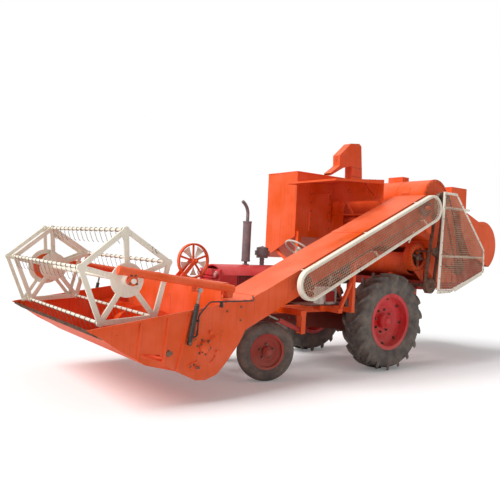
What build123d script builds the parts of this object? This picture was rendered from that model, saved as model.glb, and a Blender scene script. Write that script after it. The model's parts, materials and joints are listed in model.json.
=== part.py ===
"""A combine harvester carried on a farm tractor: header and reel in front, feeder along the
left side, threshing unit behind the rear axle, grain tank and sun roof over the driver.
X points forward, Y to the left, Z up. All sizes are in millimetres. The pieces are modelled
with x = 0 at the rear axle and are moved at the end, so that the origin lies on the ground
under the middle of the whole machine."""

import os
from math import acos, atan2, cos, degrees, hypot, pi, radians, sin, tan

from build123d import *

# Running clearances
RUN = 0.1  # shaft in a bore, radial
SEAT = 0.3  # between bodies that lie against each other
GAP = 8.0  # between moving bodies

# Tractor running gear
WHEELBASE = 1970.0
REAR_R = 683.0
REAR_WIDTH = 360.0
REAR_Y = 774.0  # middle of the rear wheel
REAR_RIM_R = 356.0
REAR_FLANGE_R = 397.0
LUGS = 18  # on each side of a rear tyre
LUG_HEIGHT = 36.0
LUG_WIDTH = 48.0
TYRE_SIDES = 36  # flats around a tyre, with a corner straight down
FRONT_R = 368.0
FRONT_WIDTH = 165.0
FRONT_RIM_R = 203.0
FRONT_FLANGE_R = 224.0
KINGPIN_Y = 500.0
WHEEL_OFFSET = 135.0  # from the kingpin to the middle of the front wheel
STEER_REST = -16.4  # degrees, the front wheels are parked turned to the right
STEER_ARM = 150.0
KINGPIN_R = 22.0
STUB_R = 26.0
AXLE_R = 45.0

# Tractor body
RAIL_Y = 430.0
RAIL_Z = 800.0  # underside of the mounting rails
RAIL_H = 100.0
RAIL_W = 60.0
RAIL_FRONT = 2350.0
RAIL_REAR = -1150.0
HOOD_FRONT = 2440.0
HOOD_REAR = 980.0
HOOD_W = 460.0
HOOD_TOP = 1405.0
HOOD_SKIRT = 1150.0
ENGINE_W = 380.0
ENGINE_TOP = 1120.0
SEAT_Z = 930.0  # top of the gearbox below the seat
SHEET = 6.0
PLATE = 12.0  # platform floor

# Feeder: it swings about its upper shaft and carries the header
PIVOT_X = -280.0
PIVOT_Z = 2300.0
FEEDER_ANGLE = 25.3  # degrees below level
FEEDER_DEPTH = 280.0
FEEDER_Y = (560.0, 1120.0)
FEEDER_TAIL = 160.0  # behind the pivot
PIVOT_R = 30.0

# Header
HEADER_Y = (-1290.0, 1200.0)  # outer faces of the side plates
AUGER_X = 3280.0
AUGER_Z = 600.0
AUGER_R = 255.0
AUGER_TUBE_R = 130.0
AUGER_PITCH = 420.0
AUGER_SHAFT_R = 24.0
BEARING = 22.0  # the auger's bearings, outside the side plates
TROUGH_R = 290.0
FLOOR_BEND = (3930.0, 470.0)  # crease of the floor sheet
FLOOR_END = (4380.0, 745.0)  # its front edge, at the cutter bar
WALL_TOP = 1170.0
NOTCH_Z = 1078.0  # foot of the notches for the reel arms
BEAM = 80.0
INLET_Z = (640.0, 880.0)
SIDE_TOP_FRONT = (4540.0, 832.0)
SIDE_TOP_REAR = (2770.0, 1083.0)
GUARDS = 32  # fingers on the cutter bar

# Reel
REEL_X = 4085.0
REEL_Z = 1275.0
REEL_R = 485.0
BATS = 5
BAT_R = 16.0
REEL_PHASE = 86.0  # degrees of the first bat above the forward direction
REEL_Y = (-1165.0, 1035.0)  # outer faces of the two spiders
SPIDER_BAR = (50.0, 24.0)
SPIDER_DISC_R = 170.0
TINES = 16
TINE_LENGTH = 145.0
TINE_R = 4.0
TINE_TILT = 20.0  # degrees, tips towards the rear
ECCENTRIC = 80.0
REEL_SHAFT_R = 25.0
ARM_R = 42.0
ARM_PIVOT = (2950.0, 1125.0)
ARM_START = (2900.0, 1190.0)
ARM_END = (4230.0, 1378.0)
ARM_Y = (-1255.0, 1135.0)  # right and left arm
RAM_FOOT = (3480.0, 660.0)
RAM_EYE = (3385.0, 1190.0)
RAM_OUTSET = 42.0
RAM_R = 22.0
RAM_PIN_R = 11.0
EYE = 14.0  # half the width of a rod's eye

# Threshing unit
DRUM = (-723.0, 2467.0)
DRUM_R = 285.0
DRUM_Y = (-1050.0, 1030.0)
FAN = (-575.0, 1604.0)
FAN_R = 205.0
FAN_Y = (-880.0, 880.0)
FAN_INNER_Y = 770.0  # inner end of a fan casing, from the middle of the machine
FAN_INLET_R = 135.0
DUCT = (-600.0, 1505.0)  # the tube between the two fan casings
DUCT_R = 165.0
BODY_Y = (-1050.0, 960.0)
WALL = 10.0
TANK_X = (-350.0, 680.0)
TANK_Y = (-1150.0, -450.0)
TANK_TOP = 2822.0
TANK_LOW = (1485.0, 1832.0)  # underside at the outer and the inner wall
ROOF_X = (-100.0, 890.0)
ROOF_Y = (-450.0, 580.0)
ROOF_Z = (2712.0, 2628.0)  # top of the roof at the rear and the front
REAR_GUARD_Y = 1300.0

# Overall reach from the rear axle, which sets where the origin lies
FRONT_REACH = REEL_X + ECCENTRIC + REEL_R
REAR_REACH = -2290.0
AXLE_X = -(FRONT_REACH + REAR_REACH) / 2


def mid(pair):
    return (pair[0] + pair[1]) / 2


def block(x, y, z):
    """A box between low and high limits on each axis."""
    return Pos(mid(x), mid(y), mid(z)) * Box(x[1] - x[0], y[1] - y[0], z[1] - z[0])


def across(x, z, y, radius, hole=0.0):
    """A round bar, or a ring, whose axis runs across the machine."""
    solid = Cylinder(radius, y[1] - y[0])
    if hole:
        solid -= Cylinder(hole, y[1] - y[0] + 2)
    return Pos(x, mid(y), z) * Rot(90, 0, 0) * solid


def upright(x, y, z, radius, hole=0.0):
    """A round bar, or a ring, whose axis is vertical."""
    solid = Cylinder(radius, z[1] - z[0])
    if hole:
        solid -= Cylinder(hole, z[1] - z[0] + 2)
    return Pos(x, y, mid(z)) * solid


def rod(start, end, radius):
    """A round bar from one point to another."""
    a, b = Vector(*start), Vector(*end)
    return Plane(origin=(a + b) * 0.5, z_dir=b - a) * Cylinder(radius, (b - a).length)


def bar(start, end, width, depth, side=(0, 1, 0)):
    """A flat bar from one point to another; depth is measured along side."""
    a, b = Vector(*start), Vector(*end)
    frame = Plane(origin=(a + b) * 0.5, x_dir=side, z_dir=b - a)
    return frame * Box(depth, width, (b - a).length)


def slab(sketch, y):
    """A flat shape drawn in side view, (x, z), as thick as the span y."""
    frame = Plane(origin=(0, y[1], 0), x_dir=(1, 0, 0), z_dir=(0, -1, 0))
    return extrude(frame * sketch, y[1] - y[0], dir=(0, -1, 0))


def outline(*points):
    return Polygon(*points, align=None)


def polar(centre, radius, angle):
    """The side-view point at an angle in degrees above the forward direction."""
    a = radians(angle)
    return (centre[0] + radius * cos(a), centre[1] + radius * sin(a))


def about_y(shape, centre, angle):
    """The shape turned about a cross axis; a positive angle lifts its front."""
    there = Pos(centre[0], 0, centre[1])
    return there * Rot(0, -angle, 0) * Pos(-centre[0], 0, -centre[1]) * shape


def sided(y, side):
    """A span of y for the left side (side 1) or mirrored to the right (side -1)."""
    return (min(y[0] * side, y[1] * side), max(y[0] * side, y[1] * side))


# Wheels. Each is made about the Y axis at the origin and then placed.


def ring_section(y, radius):
    return Pos(0, y, 0) * Rot(90, 0, 0) * RegularPolygon(radius, TYRE_SIDES)


def flat_sided(steps):
    """A solid about the wheel's axis, in flat-sided bands from one (y, radius) to the next."""
    shape = None
    for start, end in zip(steps, steps[1:]):
        band = loft([ring_section(*start), ring_section(*end)], ruled=True)
        shape = band if shape is None else shape + band
    return shape


def tyre_ring(radius, width, rim_radius, bead_half, crown):
    """A tyre without tread: beads on the rim, bulged walls and a crown."""
    half = width / 2
    shoulder = radius - crown
    bulge = rim_radius + (radius - rim_radius) * 0.55
    bead_top = rim_radius + 44
    outside = [(half, bulge), (half * 0.93, shoulder), (half * 0.55, radius)]
    shape = flat_sided([(-y, r) for y, r in outside] + outside[::-1])
    seat = rim_radius / cos(pi / TYRE_SIDES)
    shape -= flat_sided([(-half, seat), (half, seat)])
    for side in (1, -1):
        shape -= flat_sided([(side * bead_half, bead_top), (side * half, bulge)])
    return shape


def rear_tyre():
    carcass_r = REAR_R - LUG_HEIGHT
    half = REAR_WIDTH / 2
    tyre = tyre_ring(carcass_r, REAR_WIDTH, REAR_RIM_R, 128.0, 34.0)
    band = flat_sided([(-half + 6, REAR_R), (half - 6, REAR_R)])
    root = REAR_R - 50
    lugs = []
    for side in (1, -1):
        raw = Pos(root + 30, side * half * 0.52, 0) * (Rot(side * 45, 0, 0) * Box(90, half * 1.5, LUG_WIDTH))
        lug = raw & band
        for n in range(LUGS):
            turn = 360 / LUGS * (n + (0.5 if side < 0 else 0))
            lugs.append(Rot(0, turn, 0) * lug)
    return tyre + lugs


def front_tyre():
    return tyre_ring(FRONT_R, FRONT_WIDTH, FRONT_RIM_R, 62.0, 22.0)


def wheel(rim_radius, flange_radius, bead_half, dish, hub_radius, hub_y, bore):
    """A pressed steel wheel: barrel, two flanges, dished disc and hub with a bore."""
    barrel_in = rim_radius - 10
    flange = 9.0
    disc = 9.0
    profile = [
        (barrel_in, -bead_half - flange),
        (flange_radius, -bead_half - flange),
        (flange_radius, -bead_half),
        (rim_radius, -bead_half),
        (rim_radius, bead_half),
        (flange_radius, bead_half),
        (flange_radius, bead_half + flange),
        (barrel_in, bead_half + flange),
        (barrel_in, dish[0] + disc),
        (rim_radius * 0.74, dish[0] + disc),
        (rim_radius * 0.58, dish[1] + disc),
        (hub_radius, dish[1] + disc),
        (hub_radius, hub_y[1]),
        (bore, hub_y[1]),
        (bore, hub_y[0]),
        (hub_radius, hub_y[0]),
        (hub_radius, dish[1]),
        (rim_radius * 0.58, dish[1]),
        (rim_radius * 0.74, dish[0]),
        (barrel_in, dish[0]),
    ]
    return revolve(Polygon(*profile, align=None), axis=Axis.Y)


def front_place(side):
    """Where a front wheel stands: turned with its knuckle about the kingpin."""
    return (
        Pos(WHEELBASE, side * KINGPIN_Y, 0)
        * Rot(0, 0, STEER_REST)
        * Pos(0, side * WHEEL_OFFSET, FRONT_R)
    )


def wheels():
    nodes = {}
    tyre = rear_tyre()
    rim = wheel(REAR_RIM_R, REAR_FLANGE_R, 128.0, (10.0, -30.0), 105.0, (-150.0, 40.0), AXLE_R + RUN)
    rear = Pos(0, REAR_Y, REAR_R)
    nodes["rear_tyre_left"] = rear * tyre
    nodes["rear_wheel_left"] = rear * rim
    for name in ("rear_tyre", "rear_wheel"):
        nodes[name + "_right"] = mirror(nodes[name + "_left"], about=Plane.XZ)
    front = front_tyre()
    disc = wheel(FRONT_RIM_R, FRONT_FLANGE_R, 62.0, (28.0, 8.0), 60.0, (-70.0, 75.0), STUB_R + RUN)
    for side, word in ((1, "left"), (-1, "right")):
        turn = Rot(0, 0, 0 if side > 0 else 180)
        nodes["front_tyre_" + word] = front_place(side) * turn * front
        nodes["front_wheel_" + word] = front_place(side) * turn * disc
    return nodes


# Front axle, knuckles and tie rod

SLEEVE_Z = (430.0, 585.0)
SLEEVE_R = 42.0
ARM_Z = (SLEEVE_Z[1] + SEAT, SLEEVE_Z[1] + SEAT + 16)


def knuckle(side):
    """A spindle in the axle's sleeve, with the stub axle below and the steering arm on top."""
    spindle = upright(0, 0, (FRONT_R - 40, ARM_Z[1] + 20), KINGPIN_R)
    foot = upright(0, 0, (FRONT_R - 40, SLEEVE_Z[0] - SEAT), SLEEVE_R)
    inner = WHEEL_OFFSET - 75
    stub = across(0, FRONT_R, sided((0, WHEEL_OFFSET + 60), side), STUB_R)
    collar = across(0, FRONT_R, sided((30, inner), side), STUB_R + 14)
    arm = block((-STEER_ARM, 25), (-22, 22), ARM_Z)
    arm += upright(-STEER_ARM, 0, ARM_Z, 22)
    shape = spindle + foot + stub + collar + arm
    return Pos(WHEELBASE, side * KINGPIN_Y, 0) * Rot(0, 0, STEER_REST) * shape


def front_axle():
    beam = block((WHEELBASE - 45, WHEELBASE + 45), (-KINGPIN_Y, KINGPIN_Y), (455, 545))
    for side in (1, -1):
        beam += upright(WHEELBASE, side * KINGPIN_Y, SLEEVE_Z, SLEEVE_R)
    for side in (1, -1):
        beam -= upright(WHEELBASE, side * KINGPIN_Y, SLEEVE_Z, KINGPIN_R + RUN)
    bolster = block((1905, 2420), (-150, 150), (545, 660))
    return beam + bolster


def tie_rod():
    """It runs behind the axle; its eyes lie on the ends of the steering arms."""
    shift = Rot(0, 0, STEER_REST)
    ends = []
    for side in (1, -1):
        end = Pos(WHEELBASE, side * KINGPIN_Y, 0) * shift * Pos(-STEER_ARM, 0, 0)
        ends.append(end.position)
    low = ARM_Z[1] + SEAT
    rod_z = low + 15
    shape = rod((ends[0].X, ends[0].Y, rod_z), (ends[1].X, ends[1].Y, rod_z), 12)
    for end in ends:
        shape += upright(end.X, end.Y, (low, low + 30), 20)
    return shape


# Tractor body

TRUMPET_R = 85.0
DRAWBAR_REACH = 640.0  # from the rear axle to the hitch hole
DRAWBAR_Z = 440.0
DRAWBAR_HOLE_R = 14.0


def tractor_body():
    """Gearbox and final drive in one casting, with the axle tubes and half shafts."""
    gearbox = slab(
        outline(
            (-230, 520),
            (-230, 900),
            (120, SEAT_Z),
            (400, SEAT_Z),
            (500, 900),
            (960, 900),
            (960, 560),
            (400, 500),
            (0, 470),
        ),
        (-170, 170),
    )
    for side in (1, -1):
        gearbox += across(0, REAR_R, sided((160, REAR_Y - REAR_WIDTH / 2 - 30), side), TRUMPET_R)
        gearbox += across(0, REAR_R, sided((REAR_Y - REAR_WIDTH / 2 - 50, REAR_Y - 152), side), 110.0)
        gearbox += across(0, REAR_R, sided((REAR_Y - 180, REAR_Y + 60), side), AXLE_R)
    gearbox += block((-DRAWBAR_REACH - 40, 100), (-45, 45), (DRAWBAR_Z - 14, DRAWBAR_Z + 14))
    gearbox += block((-120, 60), (-45, 45), (DRAWBAR_Z, 520))
    return gearbox - upright(-DRAWBAR_REACH, 0, (DRAWBAR_Z - 20, DRAWBAR_Z + 20), DRAWBAR_HOLE_R)


def engine_block():
    return block((960, 1905), (-ENGINE_W / 2, ENGINE_W / 2), (640, ENGINE_TOP))


def hood():
    """A sheet bonnet with a rounded top, open at both ends and below."""
    half = HOOD_W / 2
    side_top = HOOD_TOP - 130

    def arch(inset):
        w, top, knee = half - inset, HOOD_TOP - inset, side_top
        edges = Polyline((-w, knee), (-w, HOOD_SKIRT), (w, HOOD_SKIRT), (w, knee))
        edges += ThreePointArc((w, knee), (0, top), (-w, knee))
        return make_face(edges)

    frame = Plane(origin=(HOOD_REAR, 0, 0), x_dir=(0, 1, 0), z_dir=(1, 0, 0))
    shell = extrude(frame * arch(0), HOOD_FRONT - HOOD_REAR)
    shell -= extrude(frame * (Pos(0, -2 * SHEET) * arch(SHEET)), HOOD_FRONT - HOOD_REAR)
    shell -= block((HOOD_REAR, HOOD_FRONT), (-half + SHEET, half - SHEET), (HOOD_SKIRT - 20, side_top))
    for x, radius in ((EXHAUST[0], 30.0), (CLEANER[0], 36.0)):
        shell -= upright(x, EXHAUST[1], (HOOD_TOP - 100, HOOD_TOP + 20), radius)
    slant = tan(radians(COLUMN_TILT))
    drop = WHEEL_AT[2] - ENGINE_TOP
    shell -= rod(WHEEL_AT, (WHEEL_AT[0] + drop * slant, 0, ENGINE_TOP), COLUMN_R + GAP)
    return shell


EXHAUST = (1915.0, 0.0)
CLEANER = (1640.0, 0.0)


COWL = 40.0
LAMP_R = 42.0
LAMP_DEPTH = 40.0


def radiator_grille():
    """The front cowl with its slots, and the radiator behind it."""
    half = HOOD_W / 2
    cowl = block((HOOD_FRONT, HOOD_FRONT + COWL), (-half, half), (RAIL_Z + RAIL_H, HOOD_TOP - 60))
    for n in range(9):
        z = 960 + 36 * n
        cowl -= block((HOOD_FRONT + COWL / 2, HOOD_FRONT + COWL + 1), (-half + 60, half - 60), (z, z + 18))
    core = block((2020, HOOD_FRONT), (-170, 170), (RAIL_Z + RAIL_H, HOOD_TOP - 150))
    return cowl + core


def headlamps():
    """Two round lamps on the cowl's face."""
    lamps = []
    for side in (1, -1):
        place = Pos(HOOD_FRONT + COWL + LAMP_DEPTH / 2, side * (HOOD_W / 2 - 45), HOOD_TOP - 118)
        lamps.append(place * Rot(0, 90, 0) * Cylinder(LAMP_R, LAMP_DEPTH))
    return Compound(lamps)


def exhaust_stack():
    x, y = EXHAUST
    stack = upright(x, y, (1120, 1445), 22)
    stack += upright(x, y, (1445, 1980), 56)
    stack += upright(x, y, (1980, 2075), 22)
    bend_r = 190.0
    flat = Plane(origin=(x, y, 2075), x_dir=(1, 0, 0), z_dir=(0, 0, 1))
    path = Edge.make_three_point_arc(
        Vector(x, y, 2075),
        Vector(x + bend_r * (1 - cos(radians(30))), y, 2075 + bend_r * sin(radians(30))),
        Vector(x + bend_r * (1 - cos(radians(60))), y, 2075 + bend_r * sin(radians(60))),
    )
    stack += sweep(flat * Circle(22), path=path)
    return stack


def air_precleaner():
    x, y = CLEANER
    shape = upright(x, y, (1120, 1500), 30)
    shape += upright(x, y, (1500, 1535), 78)
    shape += upright(x, y, (1535, 1600), 100)
    shape += upright(x, y, (1600, 1640), 80)
    return shape


WHEEL_AT = (985.0, 0.0, 1640.0)
COLUMN_TILT = 35.0
COLUMN_R = 22.0


def steering_wheel():
    """Wheel, spokes and column, down to the steering box on top of the engine."""
    rim = revolve(Plane.XZ * Pos(205, 0) * RegularPolygon(14, 8), axis=Axis.Z)
    for n in range(3):
        rim += Rot(0, 0, 120 * n) * Pos(105, 0, 0) * Box(210, 26, 12)
    rim += Cylinder(38, 40)
    drop = WHEEL_AT[2] - ENGINE_TOP - 40
    foot_x = WHEEL_AT[0] + drop * tan(radians(COLUMN_TILT))
    column = rod(WHEEL_AT, (foot_x, 0, ENGINE_TOP + 40), COLUMN_R)
    column += block((foot_x - 60, foot_x + 60), (-70, 70), (ENGINE_TOP, ENGINE_TOP + 80))
    return Pos(*WHEEL_AT) * Rot(0, -COLUMN_TILT, 0) * rim + column


def driver_seat():
    pan = block((60, 480), (-230, 230), (1160, 1240))
    back = about_y(block((40, 110), (-220, 220), (1240, 1600)), (75, 1240), 8)
    post = block((180, 330), (-90, 90), (SEAT_Z, 1160))
    return pan + back + post


def battery_box():
    floor = RAIL_Z + RAIL_H + PLATE
    return block((760, 1000), (380, 570), (floor, floor + 226))


# Mounting frame: two rails along the tractor, with the posts that carry the harvester

REST_X = 800.0
REST_TOP = 1495.0
LIFT_FOOT = (1700.0, 650.0)
LIFT_EYE = (2260.0, 872.0)
LIFT_Y = 910.0
LIFT_R = 30.0
LIFT_PIN_R = 12.0
LIFT_ROD_R = 13.5
LUG_IN = 36.0  # from the lift cylinder's middle to its clevis
LUG_OUT = 48.0


def mounting_frame():
    rail_z = (RAIL_Z, RAIL_Z + RAIL_H)
    shape = None
    for side in (1, -1):
        span = sided((RAIL_Y - RAIL_W / 2, RAIL_Y + RAIL_W / 2), side)
        rail = block((RAIL_REAR, RAIL_FRONT), span, rail_z)
        shape = rail if shape is None else shape + rail
        saddle = block((-105, 105), span, (REAR_R, RAIL_Z))
        saddle -= across(0, REAR_R, (span[0] - 1, span[1] + 1), TRUMPET_R)
        shape += saddle
        for x, top in ((RAIL_REAR + 40, BODY_FOOT), (MAIN_PULLEY[0], DUCT[1] - DUCT_R + 20)):
            shape += block((x - 35, x + 35), span, (RAIL_Z + RAIL_H, top))
    inner = RAIL_Y - RAIL_W / 2
    for x in (RAIL_FRONT - 40, RAIL_REAR + 40):
        shape += block((x - 40, x + 40), (-inner, inner), rail_z)
    shape += block((RAIL_FRONT - 80, RAIL_FRONT), (-150, 150), (660, RAIL_Z))
    shape += tank_posts()
    shape += left_outriggers(rail_z)
    shape -= across(*DUCT, (-2 * RAIL_Y, 2 * RAIL_Y), DUCT_R)
    shape -= across(*MAIN_PULLEY, (0, 2 * RAIL_Y), MAIN_SHAFT_R + RUN)
    return shape


BODY_FOOT = 1250.0
MAIN_PULLEY = (-552.0, 1207.0)
MAIN_SHAFT_R = 26.0
TANK_POST_X = (-290.0, 620.0)


def tank_envelope():
    """The tank as a closed block, to cut what stands against it."""
    frame = Plane(origin=(TANK_X[0], 0, 0), x_dir=(0, 1, 0), z_dir=(1, 0, 0))
    return extrude(frame * tank_end(0), TANK_X[1] - TANK_X[0])


def tank_posts():
    """Two posts on the right rail with struts to the tank's sloping bottom."""
    shape = None
    post_y = (-RAIL_Y - RAIL_W / 2, -RAIL_Y + RAIL_W / 2)
    for x in TANK_POST_X:
        post = block((x - 30, x + 30), post_y, (RAIL_Z + RAIL_H, TANK_LOW[1] + 80))
        post += bar((x, -RAIL_Y, 1330), (x, -1000, 1640), 40, 40, (1, 0, 0))
        shape = post if shape is None else shape + post
    return shape - tank_envelope()


def left_outriggers(rail_z):
    """Arms on the left rail: the rest below the feeder with its brace, and the lift cylinder's foot."""
    outer = RAIL_Y + RAIL_W / 2
    post_y = (870, 930)
    rest = block((REST_X - 30, REST_X + 30), (outer, post_y[1]), (RAIL_Z + 40, rail_z[1]))
    rest += block((REST_X - 25, REST_X + 25), post_y, (RAIL_Z + 40, REST_TOP))
    rest += bar((REST_X + 235, mid(post_y), RAIL_Z + 60), (REST_X, mid(post_y), 1290), 40, 40)
    rest += block((REST_X + 200, REST_X + 270), (outer, post_y[1]), (RAIL_Z + 40, rail_z[1]))
    rest += block((REST_X - 40, REST_X + 40), (post_y[0] - 10, post_y[1] + 70), (REST_TOP - 15, REST_TOP))
    x = LIFT_FOOT[0]
    lift = block((x - 45, x + 45), (outer, LIFT_Y + LUG_OUT), (RAIL_Z + 30, rail_z[1] - 5))
    for side in (1, -1):
        y = sorted((LIFT_Y + side * LUG_IN, LIFT_Y + side * LUG_OUT))
        lift += block((x - 40, x + 30), y, (LIFT_FOOT[1] - 40, RAIL_Z + 40))
    lift += across(x, LIFT_FOOT[1], (LIFT_Y - LUG_OUT, LIFT_Y + LUG_OUT), LIFT_PIN_R)
    return rest + lift


def driver_platform():
    """Chequered floor for the driver, on the rails."""
    top = RAIL_Z + RAIL_H
    y = (ENGINE_W / 2 + 10, REAR_Y - REAR_WIDTH / 2 - 14)
    shape = block((430, 1300), sided(y, -1), (top, top + PLATE)) + block((430, 1300), y, (top, top + PLATE))
    post = (TANK_POST_X[1] - 32, TANK_POST_X[1] + 32)
    notch_y = (-RAIL_Y - RAIL_W / 2 - 2, -RAIL_Y + RAIL_W / 2 + 2)
    return shape - block(post, notch_y, (top - 1, top + PLATE + 1))


# Feeder

DOWN = radians(FEEDER_ANGLE)


def on_feeder(along, up):
    """The side-view point at a distance down the feeder from its pivot and above its middle."""
    x = PIVOT_X + along * cos(DOWN) + up * sin(DOWN)
    z = PIVOT_Z - along * sin(DOWN) + up * cos(DOWN)
    return (x, z)


def feeder_outline(low, high, x_end):
    """A strip of the feeder's side between two heights, ended by the header's back wall."""
    start_low, start_high = on_feeder(-FEEDER_TAIL, low), on_feeder(-FEEDER_TAIL, high)
    points = [start_low, start_high]
    for up in (high, low):
        x, z = on_feeder(0, up)
        points.append((x_end, z - (x_end - x) * tan(DOWN)))
    return outline(*points)


BACK_X = AUGER_X - TROUGH_R - SHEET
INSIDE_Y = (HEADER_Y[0] + SHEET, HEADER_Y[1] - SHEET)
NOTCH_HALF = 95.0  # from an arm's middle to the notch's inner edge


def feeder_trough():
    """Floor and two sides of the conveyor, with the pivot tube through the sides."""
    half = FEEDER_DEPTH / 2
    floor = slab(feeder_outline(-half, -half + SHEET, BACK_X), FEEDER_Y)
    shape = floor
    for y in ((FEEDER_Y[0], FEEDER_Y[0] + SHEET), (FEEDER_Y[1] - SHEET, FEEDER_Y[1])):
        shape += slab(feeder_outline(-half, half, BACK_X), y)
    shape += across(PIVOT_X, PIVOT_Z, (FEEDER_Y[0] - 34, FEEDER_Y[1] + 150), PIVOT_R)
    x, z = LIFT_EYE
    for side in (1, -1):
        y = sorted((LIFT_Y + side * LUG_IN, LIFT_Y + side * LUG_OUT))
        shape += slab(outline((x - 24, z - 20), (x + 24, z - 20), (x + 40, z + 60), (x - 40, z + 90)), y)
        stub = sorted((LIFT_Y + side * (EYE + SEAT), LIFT_Y + side * LUG_OUT))
        shape += across(x, z, stub, LIFT_PIN_R)
    return shape


LAPS = (1150.0, 2990.0)  # where the lengths of the cover meet
LAP = 100.0


def feeder_cover():
    """The top plate in three lengths, with lap strips over the joints."""
    half = FEEDER_DEPTH / 2
    y = (FEEDER_Y[0] + SHEET, FEEDER_Y[1] - SHEET)
    shape = slab(feeder_outline(half - SHEET, half, BACK_X), y)
    for along in LAPS:
        ends = [on_feeder(along + a, half + b) for a, b in ((0, 0), (LAP, 0), (LAP, 5), (0, 5))]
        shape += slab(outline(*ends), FEEDER_Y)
    return shape


def stadium(centre_a, centre_b, radius):
    """A strip with two round ends, drawn in side view."""
    a, b = Vector(*centre_a, 0), Vector(*centre_b, 0)
    length = (b - a).length
    angle = degrees(atan2(b.Y - a.Y, b.X - a.X))
    slot = SlotCenterToCenter(length, 2 * radius)
    return Pos((a.X + b.X) / 2, (a.Y + b.Y) / 2) * Rot(0, 0, angle) * slot


FEEDER_GUARD_Y = (1215.0, 1325.0)
GUARD_R = 190.0
GUARD_UP = on_feeder(0, -15)
GUARD_LOW = on_feeder(2430, -15)


def feeder_guard():
    """A round-ended cage of sheet strip and wire mesh over the belt on the feeder's side."""
    y0, y1 = FEEDER_GUARD_Y
    strip = slab(stadium(GUARD_UP, GUARD_LOW, GUARD_R), FEEDER_GUARD_Y)
    strip -= slab(stadium(GUARD_UP, GUARD_LOW, GUARD_R - 8), (y0 - 1, y1 + 1))
    lip = slab(stadium(GUARD_UP, GUARD_LOW, GUARD_R), (y1 - 10, y1))
    lip -= slab(stadium(GUARD_UP, GUARD_LOW, GUARD_R - 34), (y1 - 12, y1 + 1))
    shape = strip + lip
    length = hypot(GUARD_LOW[0] - GUARD_UP[0], GUARD_LOW[1] - GUARD_UP[1])
    wires = 24
    for n in range(wires + 1):
        along = length * n / wires
        top = on_feeder(along, GUARD_R - 35)
        low = on_feeder(along, -GUARD_R + 5)
        shape += bar((low[0], y1 - 6, low[1]), (top[0], y1 - 6, top[1]), 5, 5)
    for n in range(-2, 3):
        up = -15 + n * 60
        reach = GUARD_R - 25
        a, b = on_feeder(-reach + abs(n) * 22, up), on_feeder(length + reach - abs(n) * 22, up)
        shape += bar((a[0], y1 - 6, a[1]), (b[0], y1 - 6, b[1]), 5, 5)
    for along in (130.0, length / 2, length - 60):
        for up in (GUARD_R - 19, -GUARD_R - 11):
            x, z = on_feeder(along, up)
            foot = on_feeder(along, FEEDER_DEPTH / 2 - 8 if up > 0 else 8 - FEEDER_DEPTH / 2)
            shape += bar((foot[0], y0 + 12, foot[1]), (x, y0 + 12, z), 30, 8)
            shape += across(*foot, (FEEDER_Y[1], y0 + 16), 6)
    return shape


PULLEY_Y = (FEEDER_Y[1] + 45, FEEDER_Y[1] + 85)


def feeder_drive():
    """Two belt pulleys and the belt between them, behind the guard."""
    upper, lower = on_feeder(0, 0), on_feeder(2430, 0)
    r_up, r_low = 115.0, 95.0
    belt_y = (mid(PULLEY_Y) - 12, mid(PULLEY_Y) + 12)
    shape = across(*upper, PULLEY_Y, r_up, PIVOT_R)
    shape += across(*lower, PULLEY_Y, r_low)
    shape += across(*lower, (FEEDER_Y[1], FEEDER_Y[1] + 120), 22)
    for up in (1, -1):
        a = on_feeder(0, up * (r_up - 6))
        b = on_feeder(2430, up * (r_low - 6))
        shape += bar((a[0], mid(belt_y), a[1]), (b[0], mid(belt_y), b[1]), 12, 24)
    return shape


# Header


def floor_path(out):
    """Trough and floor of the header in side view, set outwards by out."""
    centre = (AUGER_X, AUGER_Z)
    r = TROUGH_R + out
    reach = hypot(FLOOR_BEND[0] - AUGER_X, FLOOR_BEND[1] - AUGER_Z)
    to_bend = degrees(atan2(FLOOR_BEND[1] - AUGER_Z, FLOOR_BEND[0] - AUGER_X))
    tangent = to_bend - degrees(acos(TROUGH_R / reach))
    rise = degrees(atan2(FLOOR_END[1] - FLOOR_BEND[1], FLOOR_END[0] - FLOOR_BEND[0]))
    half = (tangent + 90 + rise) / 2 - 90
    bend = polar(FLOOR_BEND, out / cos(radians(rise - tangent - 90) / 2), half)
    end = polar(FLOOR_END, out, rise - 90)
    turn = [polar(centre, r, a) for a in (180, (tangent - 180) / 2, tangent)]
    return *turn, bend, end


def header_trough():
    """Auger trough and floor, bent from one sheet."""
    back, arc, floor, bend, end = floor_path(0)
    back2, arc2, floor2, bend2, end2 = floor_path(SHEET)
    edges = ThreePointArc(back, arc, floor) + Polyline(floor, bend, end, end2, bend2, floor2)
    edges += ThreePointArc(floor2, arc2, back2) + Line(back2, back)
    return slab(make_face(edges), INSIDE_Y)


def header_back():
    """The flat wall behind the auger, with the feeder's inlet and the notches of the reel arms."""
    shape = block((BACK_X, BACK_X + SHEET), INSIDE_Y, (AUGER_Z, WALL_TOP))
    inlet_y = (FEEDER_Y[0] + SHEET, FEEDER_Y[1] - SHEET)
    shape -= block((BACK_X - 50, BACK_X + 60), inlet_y, INLET_Z)
    for side, y in ((-1, ARM_Y[0]), (1, ARM_Y[1])):
        notch = sided((side * y - NOTCH_HALF, side * y + 300), side)
        shape -= block((BACK_X - 50, BACK_X + 60), notch, (NOTCH_Z, WALL_TOP + 1))
    return shape


def side_points():
    """The side plate's outline: straight top, round rear, swept-up nose."""
    centre = (AUGER_X, AUGER_Z)
    low = [polar(centre, 345, a) for a in (-150, -120, -95, -75)]
    return [
        SIDE_TOP_FRONT,
        SIDE_TOP_REAR,
        (2755, 760),
        (2830, 620),
        *low,
        (3600, 378),
        (3700, 432),
        (3920, 466),
        (4210, 622),
        (4400, 752),
    ]


KNIFE_WINDOW = ((3990, 548), (3975, 582), (3786, 557), (3752, 515), (3760, 486))


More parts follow.
